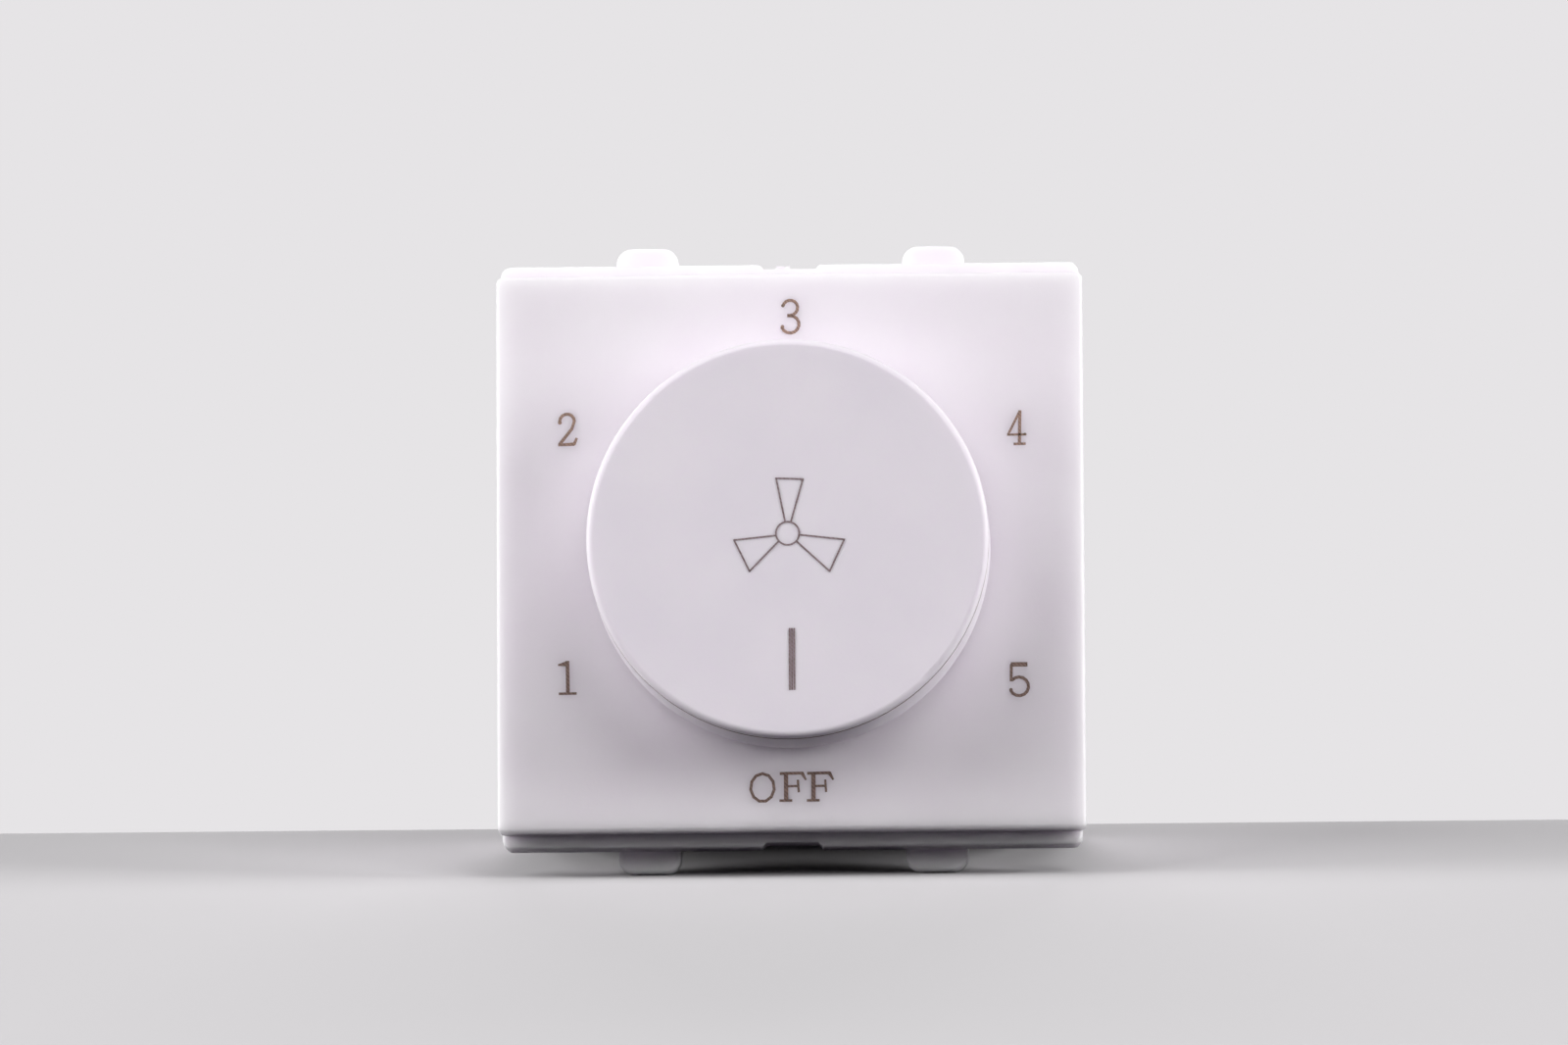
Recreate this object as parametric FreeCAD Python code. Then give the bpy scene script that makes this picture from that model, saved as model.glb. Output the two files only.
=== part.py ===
import FreeCAD, Part
import math
import os

# Fan speed regulator for a two-module wall grid, in millimetres.
# X runs to the right, Y into the wall and Z up. The origin lies on the knob axis, in the plane of the
# flange's rear face. The knob stands at OFF with its pointer straight down, and turns clockwise from there.

# Clearances shared by many fits
running_clearance = 0.05
slip_clearance = 0.15
plane_tolerance = 0.0001
direction_tolerance = 0.001

# Front plate
module_width = 45.0
plate_height = 43.0
plate_edge = 2.0
plate_crown_radius = 500.0
plate_corner = 0.5
plate_edge_round = 0.3
plate_hole_clearance = 0.7
plate_hook_spacing = 16.0
plate_hook_width = 4.0
plate_hook_leg = 1.2
plate_hook_nose = 0.6
plate_hook_land = 0.6
plate_hook_length = 2.2

# Flange, snap lugs and housing
flange_side_step = 0.3
flange_lip = 1.05
flange_depth = 2.2
flange_corner = 0.8
flange_edge_round = 0.25
notch_width = 4.7
notch_depth = 0.35
lug_spacing = 22.0
lug_width = 4.75
lug_reach = 1.7
lug_land = 0.8
lug_depth = 9.0
lug_corner = 1.2
lug_edge_round = 0.3
housing_side_step = 0.4
housing_wall = 1.6
housing_corner = 1.6
bay_corner = 0.8
boss_radius = 2.4
boss_inset = 2.2
wire_window = 5.2

# Rear cover
cover_thickness = 1.6
cover_chamfer = 0.5
cover_rim_depth = 1.2
cover_rim_wall = 1.2
cover_hook_spacing = 14.0
cover_hook_width = 4.4
cover_hook_length = 5.5
cover_hook_nose = 0.9
cover_hook_land = 1.4
cover_gap = 2.5
access_radius = 3.2
access_chamfer = 0.4
vent_count = 5
vent_pitch = 3.0
vent_width = 1.2
vent_length = 9.0
vent_margin = 4.6

# Knob and its spring band
knob_radius = 15.35
knob_depth = 6.4
knob_gap = 0.4
knob_wall = 1.5
knob_front_wall = 1.5
knob_edge_round = 0.5
knob_seam_land = 0.1
knob_seam_width = 0.35
knob_seam_depth = 0.25
knob_rim_chamfer = 0.3
knob_hub_wall = 1.6
knob_rib_count = 8
knob_rib_thickness = 1.0
knob_rib_depth = 1.6
hub_slit = 0.8
hub_gap = 0.4
clip_thickness = 0.4
clip_width = 1.8
clip_opening = 60.0
clip_setback = 0.4

# Rotary switch: outside
switch_size = 24.0
switch_corner = 2.0
switch_cover_thickness = 1.8
switch_case_depth = 9.2
switch_case_wall = 1.7
switch_floor = 1.5
bush_radius = 4.5
bush_proud = 0.5
bush_chamfer = 0.4
nut_across_flats = 12.0
nut_thickness = 2.0
washer_radius = 6.8
washer_thickness = 0.5
washer_teeth = 12
washer_tooth_gap = 0.9
key_width = 2.0
key_height = 1.6
key_radius = 8.5
key_depth = 1.2
switch_screw_inset = 2.0
switch_screw_radius = 0.85
switch_screw_head_radius = 1.6
switch_screw_head = 1.2
switch_screw_bite = 1.2
screw_point = 0.5
pan_head_edge = 0.5
pan_head_top = 0.75
recess_reach = 0.6
recess_width = 0.25

# Rotary switch: rotor, detent and contacts
step_angle = 60.0
step_count = 5
shaft_radius = 3.0
shaft_flat = 1.6
shaft_end_gap = 0.2
shaft_end_chamfer = 0.3
shaft_flat_setback = 0.2
collar_radius = 5.0
collar_depth = 1.0
star_depth = 2.6
star_step = 1.2
scallop_radius = 1.7
scallop_depth = 1.0
carrier_depth = 1.6
stop_reach = 1.4
stop_clearance = 0.5
stop_rib_gap = 0.2
stop_lug_angle = 24.0
stop_play = 1.0
pivot_radius = 1.5
pivot_boss_wall = 1.05
pivot_boss_height = 0.6
stud_radius = 0.5
stud_circle = 2.3
leaf_thickness = 0.25
leaf_clearance = 0.3
leaf_seat = 1.4
contact_height = 0.6
contact_radius = 1.1
contact_inset = 1.2
contact_chamfer = 0.25
contact_shank_radius = 0.7
pin_radius = 0.45
pin_proud = 0.8
ring_inner = 3.2
ring_outer = 5.2
wiper_thickness = 0.3
wiper_width = 2.2
wiper_disc_radius = 3.0
wiper_bend = 1.6
wiper_foot = 0.8

# Circuit board and what it carries
board_gap = 2.5
board_thickness = 1.6
board_edge_gap = 0.4
board_screw_radius = 1.15
board_screw_head_radius = 1.9
board_screw_head = 1.3
board_screw_length = 7.0
lead_radius = 0.35
lead_hole_clearance = 0.1
capacitor_gap = 0.45
capacitor_round = 0.5
capacitor_lead_inset = 3.0
capacitor_large_depth = 12.6
capacitor_medium_depth = 11.4
capacitor_potting = 0.5
small_capacitor_width = 13.0
small_capacitor_height = 6.0
small_capacitor_depth = 9.0
small_capacitor_wall_gap = 1.6
small_capacitor_lead_inset = 1.5
resistor_gap = 0.7
series_resistor_radius = 1.6
series_resistor_length = 9.0
series_resistor_spacing = 15.0
discharge_resistor_radius = 1.2
discharge_resistor_length = 6.4
discharge_resistor_spacing = 13.0
resistor_cap_length = 1.5
resistor_waist = 0.2
resistor_lead_run = 1.4
resistor_standoff = 0.4

# Terminals and their screws
terminal_spacing = 20.0
terminal_width = 7.5
terminal_height = 8.0
terminal_depth = 8.4
terminal_wall_gap = 1.1
terminal_round = 0.4
terminal_pin_spacing = 4.0
wire_bore_radius = 1.75
wire_bore_setback = 4.2
terminal_screw_radius = 1.7
terminal_head_radius = 2.8
terminal_head = 2.0
terminal_head_chamfer = 0.4
terminal_point = 0.7
terminal_head_lift = 1.8
terminal_slot_width = 0.9
terminal_slot_depth = 1.0
screw_tip_gap = 0.15

# Places along Y, from the front plate to the rear cover
flange_front_y = -flange_depth
plate_edge_y = flange_front_y - plate_edge
plate_crown = plate_crown_radius - math.sqrt(plate_crown_radius ** 2 - (module_width / 2) ** 2)
plate_apex_y = plate_edge_y - plate_crown
knob_rim_y = plate_apex_y - knob_gap
knob_front_y = knob_rim_y - knob_depth
knob_inner_y = knob_front_y + knob_front_wall
knob_seam_front_y = knob_front_y + knob_edge_round + knob_seam_land
knob_seam_rear_y = knob_seam_front_y + knob_seam_width
washer_front_y = flange_front_y - washer_thickness
nut_front_y = washer_front_y - nut_thickness
bush_front_y = nut_front_y - bush_proud
hub_rear_y = bush_front_y - hub_gap
rib_rear_y = knob_inner_y + knob_rib_depth
shaft_front_y = knob_inner_y + shaft_end_gap
switch_cover_y = switch_cover_thickness
switch_rear_y = switch_cover_y + switch_case_depth
switch_floor_y = switch_rear_y - switch_floor
contact_face_y = switch_floor_y - contact_height
collar_front_y = switch_cover_y + slip_clearance
star_front_y = collar_front_y + collar_depth
carrier_front_y = star_front_y + star_depth
carrier_rear_y = carrier_front_y + carrier_depth
board_front_y = max(switch_rear_y + board_gap, capacitor_large_depth + capacitor_gap,
                    capacitor_medium_depth + capacitor_gap)
board_rear_y = board_front_y + board_thickness
terminal_rear_y = board_rear_y + terminal_depth
cover_front_y = board_rear_y + max(terminal_depth, small_capacitor_depth) + cover_gap
cover_rear_y = cover_front_y + cover_thickness
wire_bore_y = board_rear_y + wire_bore_setback
pin_end_y = board_rear_y + pin_proud

# Half sizes across the module
plate_half_z = plate_height / 2
flange_half_x = module_width / 2 - flange_side_step
flange_half_z = plate_half_z + flange_lip
housing_half_x = flange_half_x - housing_side_step
bay_half_x = housing_half_x - housing_wall
switch_half = switch_size / 2
resistor_bay = 2 * series_resistor_radius + 2 * resistor_gap
bay_half_z = switch_half + resistor_bay
housing_half_z = bay_half_z + housing_wall
lug_tip = flange_half_z + lug_reach
board_half_x = bay_half_x - board_edge_gap
board_half_z = bay_half_z - board_edge_gap
boss_x = bay_half_x - boss_inset
boss_z = bay_half_z - boss_inset
plate_hook_outer = bay_half_z - plate_hook_nose - 2 * slip_clearance
plate_hook_inner = plate_hook_outer - plate_hook_leg
cover_hook_outer = bay_half_x - slip_clearance
cover_hook_inner = cover_hook_outer - cover_rim_wall

# Radii about the knob axis
hub_radius = shaft_radius + knob_hub_wall
nut_corner_radius = nut_across_flats / math.sqrt(3)
cavity_radius = switch_half - switch_case_wall
stop_lug_radius = cavity_radius - stop_clearance
carrier_radius = stop_lug_radius - stop_reach
star_radius = carrier_radius - star_step
star_valley = star_radius - scallop_depth
contact_circle = carrier_radius - contact_inset
pivot_bore_radius = pivot_radius + running_clearance
stop_rib_angle = step_angle - stop_lug_angle - 2 * stop_play

# Positions of what repeats
pointer_angle = 90.0
contact_angles = [pointer_angle + step_angle * step for step in range(1, step_count + 1)]
switch_screw_offset = switch_half - switch_screw_inset
switch_screw_places = [(x, z) for x in (-switch_screw_offset, switch_screw_offset)
                       for z in (-switch_screw_offset, switch_screw_offset)]
boss_screw_places = [(-boss_x, boss_z), (boss_x, -boss_z)]
boss_peg_places = [(boss_x, boss_z), (-boss_x, -boss_z)]
resistor_z = switch_half + resistor_bay / 2
terminal_x = terminal_spacing / 2
terminal_z = -(bay_half_z - terminal_wall_gap - terminal_height / 2)
vent_z = bay_half_z - vent_margin - vent_length / 2
small_capacitor_z = bay_half_z - small_capacitor_wall_gap - small_capacitor_height / 2
capacitor_width = bay_half_x - switch_half - 2 * capacitor_gap
capacitor_x = switch_half + capacitor_gap + capacitor_width / 2
capacitor_half_length = boss_z - boss_radius - capacitor_gap
capacitor_lead_z = capacitor_half_length - capacitor_lead_inset


def vec(x, y, z):
    """Point or direction in the part's frame."""
    return FreeCAD.Vector(x, y, z)


def block(x, y, z):
    """Box between pairs of limits."""
    size = [limits[1] - limits[0] for limits in (x, y, z)]
    return Part.makeBox(size[0], size[1], size[2], vec(x[0], y[0], z[0]))


def around(centre, width):
    """Pair of limits of a width about a centre."""
    return (centre - width / 2, centre + width / 2)


def drum(radius, y, x=0.0, z=0.0):
    """Cylinder along Y between two depths."""
    return Part.makeCylinder(radius, y[1] - y[0], vec(x, y[0], z), vec(0, 1, 0))


def edges_along(shape, axis):
    """Straight edges of a shape that run along an axis."""
    straight = [edge for edge in shape.Edges if isinstance(edge.Curve, Part.Line)]
    return [edge for edge in straight if abs(edge.Curve.Direction.dot(axis)) > 1 - direction_tolerance]


def rounded_slab(x, y, z, corner):
    """Box whose four edges along Y are rounded."""
    slab = block(x, y, z)
    return slab.makeFillet(corner, edges_along(slab, vec(0, 1, 0)))


def turned(profile, angle=360.0, start=0.0, x=0.0, z=0.0):
    """Solid turned about a line along Y from (radius, depth) points, from a start angle off +X."""
    points = [vec(radius, depth, 0) for radius, depth in profile]
    face = Part.Face(Part.makePolygon(points + points[:1]))
    solid = face.revolve(vec(0, 0, 0), vec(0, 1, 0), angle)
    solid.rotate(vec(0, 0, 0), vec(0, 1, 0), start)
    solid.translate(vec(x, 0, z))
    return solid


def side_profile(points, x):
    """Solid drawn along X from (depth, height) points."""
    corners = [vec(x[0], depth, height) for depth, height in points]
    face = Part.Face(Part.makePolygon(corners + corners[:1]))
    return face.extrude(vec(x[1] - x[0], 0, 0))


def top_profile(points, z):
    """Solid drawn along Z from (across, depth) points."""
    corners = [vec(across, depth, z[0]) for across, depth in points]
    face = Part.Face(Part.makePolygon(corners + corners[:1]))
    return face.extrude(vec(0, 0, z[1] - z[0]))


def turned_by(shape, angle):
    """Copy of a shape turned about the knob axis, clockwise seen from the front."""
    copy = shape.copy()
    copy.rotate(vec(0, 0, 0), vec(0, 1, 0), angle)
    return copy


def mirrored(shape, normal):
    """Copy of a shape mirrored in the plane through the origin with this normal."""
    return shape.mirror(vec(0, 0, 0), normal)


def on_circle(radius, angle):
    """(x, z) of a point on a circle about the knob axis, clockwise from +X seen from the front."""
    return (radius * math.cos(math.radians(angle)), -radius * math.sin(math.radians(angle)))


def joined(first, others):
    """One solid from pieces that meet, without seams on shared faces."""
    return first.fuse(others).removeSplitter()


def plate_hook(x, side):
    """Snap hook behind the front plate, reaching through the housing's front wall."""
    nose = plate_hook_outer + plate_hook_nose
    catch_y = running_clearance
    outline = [
        (flange_front_y, plate_hook_inner),
        (flange_front_y, plate_hook_outer),
        (catch_y, plate_hook_outer),
        (catch_y, nose),
        (catch_y + plate_hook_land, nose),
        (plate_hook_length, plate_hook_outer - plate_hook_nose),
        (plate_hook_length, plate_hook_inner),
    ]
    return side_profile([(depth, side * height) for depth, height in outline],
                        around(x, plate_hook_width))


def front_plate():
    """Crowned fascia with a hole round the bush nut and four snap hooks."""
    half_x = module_width / 2
    slab = rounded_slab((-half_x, half_x), (plate_apex_y, flange_front_y), (-plate_half_z, plate_half_z),
                        plate_corner)
    dome = Part.makeSphere(plate_crown_radius, vec(0, plate_apex_y + plate_crown_radius, 0))
    plate = slab.common(dome)
    crown = [face for face in plate.Faces if isinstance(face.Surface, Part.Sphere)][0]
    plate = plate.makeFillet(plate_edge_round, crown.Edges)
    hole = drum(nut_corner_radius + plate_hole_clearance, (plate_apex_y, flange_front_y))
    hooks = [plate_hook(side * plate_hook_spacing / 2, end) for side in (-1, 1) for end in (-1, 1)]
    return joined(plate.cut(hole), hooks)


def snap_lug():
    """Upper right lug: rounded tab that stands above the flange and ramps down to the housing."""
    tab = rounded_slab(around(lug_spacing / 2, lug_width), (0, lug_depth),
                       (housing_half_z - lug_corner, lug_tip), lug_corner)
    ramp = side_profile(
        [(0, 0), (0, lug_tip), (lug_land, lug_tip), (lug_depth, housing_half_z), (lug_depth, 0)],
        (0, module_width),
    )
    return tab.common(ramp)


def lug_front_edges(body):
    """Outer edges of the lugs' front faces, which stand clear of the flange."""
    fronts = [face for face in body.Faces
              if abs(face.CenterOfMass.y) < plane_tolerance
              and abs(face.CenterOfMass.z) > flange_half_z]
    return [edge for face in fronts for edge in face.Edges
            if abs(edge.CenterOfMass.z) > flange_half_z + plane_tolerance]


def four_ways(shape):
    """A shape with its mirror images left to right and top to bottom."""
    pair = [shape, mirrored(shape, vec(1, 0, 0))]
    return pair + [mirrored(piece, vec(0, 0, 1)) for piece in pair]


def pry_notch():
    """Shallow notch with sloping ends in the middle of the flange's upper edge."""
    half = notch_width / 2
    floor = flange_half_z - notch_depth
    corners = [(-half, flange_half_z), (half, flange_half_z), (half - notch_depth, floor),
               (notch_depth - half, floor)]
    points = [vec(x, flange_front_y, z) for x, z in corners]
    return Part.Face(Part.makePolygon(points + points[:1])).extrude(vec(0, flange_depth, 0))


def cover_hook_profile(grow):
    """(across, depth) outline of a rear cover hook's nose on the right, grown for its window."""
    catch_y = cover_front_y - cover_hook_length + cover_hook_land
    tip_y = cover_front_y - cover_hook_length
    nose = cover_hook_outer + cover_hook_nose + grow
    return [
        (cover_hook_inner, catch_y + grow),
        (nose, catch_y + grow),
        (nose, catch_y - cover_hook_land / 2 - grow),
        (cover_hook_outer - cover_hook_nose / 2, tip_y - grow),
        (cover_hook_inner, tip_y - grow),
    ]


def board_boss(x, z, peg):
    """Post that carries the board, with a peg through it or a pilot hole for a screw."""
    post = drum(boss_radius, (0, board_front_y), x, z)
    if peg:
        tip = drum(board_screw_radius, (board_front_y, board_rear_y), x, z)
        return post.fuse(tip)
    pilot_y = (board_rear_y - board_screw_length, board_front_y)
    return post.cut(drum(board_screw_radius + running_clearance, pilot_y, x, z))


def housing():
    """Flange, snap lugs and open-backed box in one moulding."""
    flange = rounded_slab((-flange_half_x, flange_half_x), (flange_front_y, 0),
                          (-flange_half_z, flange_half_z), flange_corner)
    front = min(flange.Faces, key=lambda face: face.CenterOfMass.y)
    flange = flange.makeFillet(flange_edge_round, front.Edges)
    shell = rounded_slab((-housing_half_x, housing_half_x), (0, cover_front_y),
                         (-housing_half_z, housing_half_z), housing_corner)
    bay = rounded_slab((-bay_half_x, bay_half_x), (0, cover_front_y), (-bay_half_z, bay_half_z), bay_corner)
    bosses = [board_boss(x, z, False) for x, z in boss_screw_places]
    bosses += [board_boss(x, z, True) for x, z in boss_peg_places]
    body = joined(flange, [shell.cut(bay)] + four_ways(snap_lug()) + bosses)
    body = body.makeFillet(lug_edge_round, lug_front_edges(body))
    notch = pry_notch()
    slot_z = (plate_hook_inner - plate_hook_nose - slip_clearance, plate_hook_outer + slip_clearance)
    hook_slot = block(around(plate_hook_spacing / 2, plate_hook_width + 2 * slip_clearance),
                      (flange_front_y, 0), slot_z)
    hook_window = top_profile(cover_hook_profile(slip_clearance),
                              around(cover_hook_spacing / 2, cover_hook_width + 2 * slip_clearance))
    hook_window = hook_window.fuse(hook_window.translated(vec(housing_wall, 0, 0)))
    wall_side = block((bay_half_x, module_width), (0, cover_front_y), (0, plate_height))
    hook_window = hook_window.common(wall_side)
    wire_windows = [block(around(side * terminal_x, wire_window), around(wire_bore_y, wire_window),
                          (-housing_half_z, -bay_half_z)) for side in (-1, 1)]
    bush_hole = drum(bush_radius + slip_clearance, (flange_front_y, 0))
    key_slot = block(around(0, key_width + 2 * slip_clearance), (-key_depth - slip_clearance, 0),
                     around(key_radius, key_height + 2 * slip_clearance))
    cuts = [notch, mirrored(notch, vec(0, 0, 1)), bush_hole, key_slot]
    cuts += four_ways(hook_slot) + four_ways(hook_window) + wire_windows
    return body.cut(cuts)


def cover_hook():
    """Upper right snap leg of the rear cover, with its nose in the housing's side window."""
    z = around(cover_hook_spacing / 2, cover_hook_width)
    leg = block((cover_hook_inner, cover_hook_outer), (cover_front_y - cover_hook_length, cover_front_y), z)
    return leg.fuse(top_profile(cover_hook_profile(0.0), z))


def vent_slot(x):
    """Upright slot with round ends through the rear cover."""
    y = (cover_front_y, cover_rear_y)
    straight = vent_length - vent_width
    middle = block(around(x, vent_width), y, around(vent_z, straight))
    return middle.fuse([drum(vent_width / 2, y, x, vent_z + end * straight / 2) for end in (-1, 1)])


def rear_cover():
    """Lid with a locating rim, four snap legs, vent slots and two holes for a screwdriver."""
    lid = rounded_slab((-housing_half_x, housing_half_x), (cover_front_y, cover_rear_y),
                       (-housing_half_z, housing_half_z), housing_corner)
    back = max(lid.Faces, key=lambda face: face.CenterOfMass.y)
    lid = lid.makeChamfer(cover_chamfer, back.Edges)
    rim_x = bay_half_x - slip_clearance
    rim_z = bay_half_z - slip_clearance
    rim_y = (cover_front_y - cover_rim_depth, cover_front_y)
    rim = rounded_slab((-rim_x, rim_x), rim_y, (-rim_z, rim_z), bay_corner)
    inner_x = rim_x - cover_rim_wall
    inner_z = rim_z - cover_rim_wall
    rim = rim.cut(block((-inner_x, inner_x), rim_y, (-inner_z, inner_z)))
    cover = joined(lid, [rim] + four_ways(cover_hook()))
    wide = access_radius + access_chamfer
    hole = turned([(0, cover_front_y), (access_radius, cover_front_y),
                   (access_radius, cover_rear_y - access_chamfer), (wide, cover_rear_y), (0, cover_rear_y)])
    cuts = [hole.translated(vec(side * terminal_x, 0, terminal_z)) for side in (-1, 1)]
    first_x = -vent_pitch * (vent_count - 1) / 2
    cuts += [vent_slot(first_x + vent_pitch * index) for index in range(vent_count)]
    return cover.cut(cuts)


def d_section(radius, flat, y):
    """Cylinder on the knob axis with one flat, facing +X."""
    return drum(radius, y).common(block((-radius, flat), y, (-radius, radius)))


def knob():
    """Hollow step knob with a seam round its cap, ribs and a split hub that grips the D-shaft."""
    cup = turned([
        (0, knob_front_y),
        (knob_radius, knob_front_y),
        (knob_radius, knob_seam_front_y),
        (knob_radius - knob_seam_depth, knob_seam_front_y),
        (knob_radius - knob_seam_depth, knob_seam_rear_y),
        (knob_radius, knob_seam_rear_y),
        (knob_radius, knob_rim_y - knob_rim_chamfer),
        (knob_radius - knob_rim_chamfer, knob_rim_y),
        (knob_radius - knob_wall, knob_rim_y),
        (knob_radius - knob_wall, knob_inner_y),
        (0, knob_inner_y),
    ])
    front = min(cup.Faces, key=lambda face: face.CenterOfMass.y)
    cup = cup.makeFillet(knob_edge_round, front.Edges)
    rib = block((0, knob_radius - knob_wall), (knob_inner_y, rib_rear_y), around(0, knob_rib_thickness))
    ribs = [turned_by(rib, 360.0 / knob_rib_count * index) for index in range(knob_rib_count)]
    body = joined(cup, [drum(hub_radius, (knob_inner_y, hub_rear_y))] + ribs)
    socket = d_section(shaft_radius + running_clearance, shaft_flat + running_clearance,
                       (knob_inner_y, hub_rear_y))
    slit = block((-hub_radius, hub_radius), (rib_rear_y, hub_rear_y), around(0, hub_slit))
    return body.cut([socket, slit])


def knob_clip():
    """Open steel band that closes the knob's split hub on the shaft."""
    y = (rib_rear_y + clip_setback, rib_rear_y + clip_setback + clip_width)
    outer = hub_radius + clip_thickness
    section = [(hub_radius, y[0]), (outer, y[0]), (outer, y[1]), (hub_radius, y[1])]
    return turned(section, 360.0 - clip_opening, clip_opening / 2)


def bush_nut():
    """Hexagon nut with turned corners."""
    corners = [on_circle(nut_corner_radius, 360.0 / 6 * index) for index in range(6)]
    points = [vec(x, nut_front_y, z) for x, z in corners]
    prism = Part.Face(Part.makePolygon(points + points[:1])).extrude(vec(0, nut_thickness, 0))
    flat_radius = nut_across_flats / 2
    fall = (nut_corner_radius - flat_radius) / 2
    turned_blank = turned([(0, nut_front_y), (flat_radius, nut_front_y),
                           (nut_corner_radius, nut_front_y + fall),
                           (nut_corner_radius, washer_front_y), (0, washer_front_y)])
    bore = drum(bush_radius + running_clearance, (nut_front_y, washer_front_y))
    return prism.common(turned_blank).cut(bore)


def lock_washer():
    """Toothed spring washer under the nut."""
    y = (washer_front_y, flange_front_y)
    ring = drum(washer_radius, y).cut(drum(bush_radius + slip_clearance, y))
    root = (washer_radius + bush_radius) / 2
    gap = block((root, washer_radius), y, around(0, washer_tooth_gap))
    return ring.cut([turned_by(gap, 360.0 / washer_teeth * index) for index in range(washer_teeth)])


def switch_cover():
    """Front of the rotary switch: plate, bush and the key that stops it turning in the wall."""
    plate = rounded_slab((-switch_half, switch_half), (0, switch_cover_y), (-switch_half, switch_half),
                         switch_corner)
    bush = turned([(0, bush_front_y), (bush_radius - bush_chamfer, bush_front_y),
                   (bush_radius, bush_front_y + bush_chamfer), (bush_radius, 0), (0, 0)])
    key = block(around(0, key_width), (-key_depth, 0), around(key_radius, key_height))
    bore = drum(shaft_radius + running_clearance, (bush_front_y, switch_cover_y))
    pilot_y = (switch_cover_y - switch_screw_bite, switch_cover_y)
    pilots = [drum(switch_screw_radius + running_clearance, pilot_y, x, z) for x, z in switch_screw_places]
    return joined(plate, [bush, key]).cut([bore] + pilots)


def leaf_level():
    """Height of the underside of the detent leaf's arms above the knob axis."""
    return star_valley + running_clearance + leaf_nose_radius()


def leaf_nose_radius():
    """Outer radius of the detent leaf's nose, which keeps its arms clear of the star's lobes."""
    return scallop_depth + leaf_clearance


def leaf_half_length():
    """Half length of the detent leaf, with its ends seated in the case."""
    return math.sqrt(cavity_radius ** 2 - leaf_level() ** 2) + leaf_seat


def switch_case():
    """Rear cup of the rotary switch with leaf slots, end stop and pivot bearing."""
    y = (switch_cover_y, switch_rear_y)
    case = rounded_slab((-switch_half, switch_half), y, (-switch_half, switch_half), switch_corner)
    case = case.cut(drum(cavity_radius, (switch_cover_y, switch_floor_y)))
    rib_inner = carrier_radius + stop_rib_gap
    rib_section = [(rib_inner, carrier_front_y), (cavity_radius + running_clearance, carrier_front_y),
                   (cavity_radius + running_clearance, switch_floor_y), (rib_inner, switch_floor_y)]
    stop_rib = turned(rib_section, stop_rib_angle, pointer_angle - stop_rib_angle / 2)
    pivot_boss = drum(pivot_bore_radius + pivot_boss_wall,
                      (switch_floor_y - pivot_boss_height, switch_floor_y))
    case = joined(case, [stop_rib, pivot_boss])
    slot_half = leaf_half_length() + slip_clearance
    leaf_slot = block((-slot_half, slot_half), (switch_cover_y, carrier_front_y),
                      (leaf_level() - slip_clearance, leaf_level() + leaf_thickness + slip_clearance))
    cuts = [leaf_slot, drum(pivot_bore_radius, y)]
    cuts += [drum(switch_screw_radius + slip_clearance, y, x, z) for x, z in switch_screw_places]
    cuts += [drum(contact_shank_radius + running_clearance, y, *on_circle(contact_circle, angle))
             for angle in contact_angles]
    cuts.append(drum(pin_radius + running_clearance, (switch_floor_y, switch_rear_y), *common_pin_place()))
    return case.cut(cuts)


def common_pin_place():
    """(x, z) of the common contact's pin, in the middle of its ring below the axis."""
    return on_circle((ring_inner + ring_outer) / 2, pointer_angle)


def rotor_shaft():
    """D-shaft, six-valley detent star, contact carrier, stop lug and rear pivot."""
    pivot_end_y = switch_rear_y - slip_clearance
    spindle = turned([
        (0, shaft_front_y),
        (shaft_radius - shaft_end_chamfer, shaft_front_y),
        (shaft_radius, shaft_front_y + shaft_end_chamfer),
        (shaft_radius, collar_front_y),
        (collar_radius, collar_front_y),
        (collar_radius, star_front_y),
        (star_radius, star_front_y),
        (star_radius, carrier_front_y),
        (carrier_radius, carrier_front_y),
        (carrier_radius, carrier_rear_y),
        (pivot_radius, carrier_rear_y),
        (pivot_radius, pivot_end_y),
        (0, pivot_end_y),
    ])
    flat_end_y = bush_front_y - shaft_flat_setback
    flat = block((shaft_flat, shaft_radius), (shaft_front_y, flat_end_y), (-shaft_radius, shaft_radius))
    scallop = drum(scallop_radius, (star_front_y, carrier_front_y), 0, star_valley + scallop_radius)
    scallops = [turned_by(scallop, step_angle * index) for index in range(step_count + 1)]
    lug_section = [(carrier_radius - stop_reach, carrier_front_y), (stop_lug_radius, carrier_front_y),
                   (stop_lug_radius, carrier_rear_y), (carrier_radius - stop_reach, carrier_rear_y)]
    lug_centre = pointer_angle + step_angle / 2
    stop_lug = turned(lug_section, stop_lug_angle, lug_centre - stop_lug_angle / 2)
    studs = [drum(stud_radius, (carrier_rear_y, carrier_rear_y + wiper_thickness), side * stud_circle, 0)
             for side in (-1, 1)]
    return joined(spindle.cut([flat] + scallops), [stop_lug] + studs)


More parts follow.
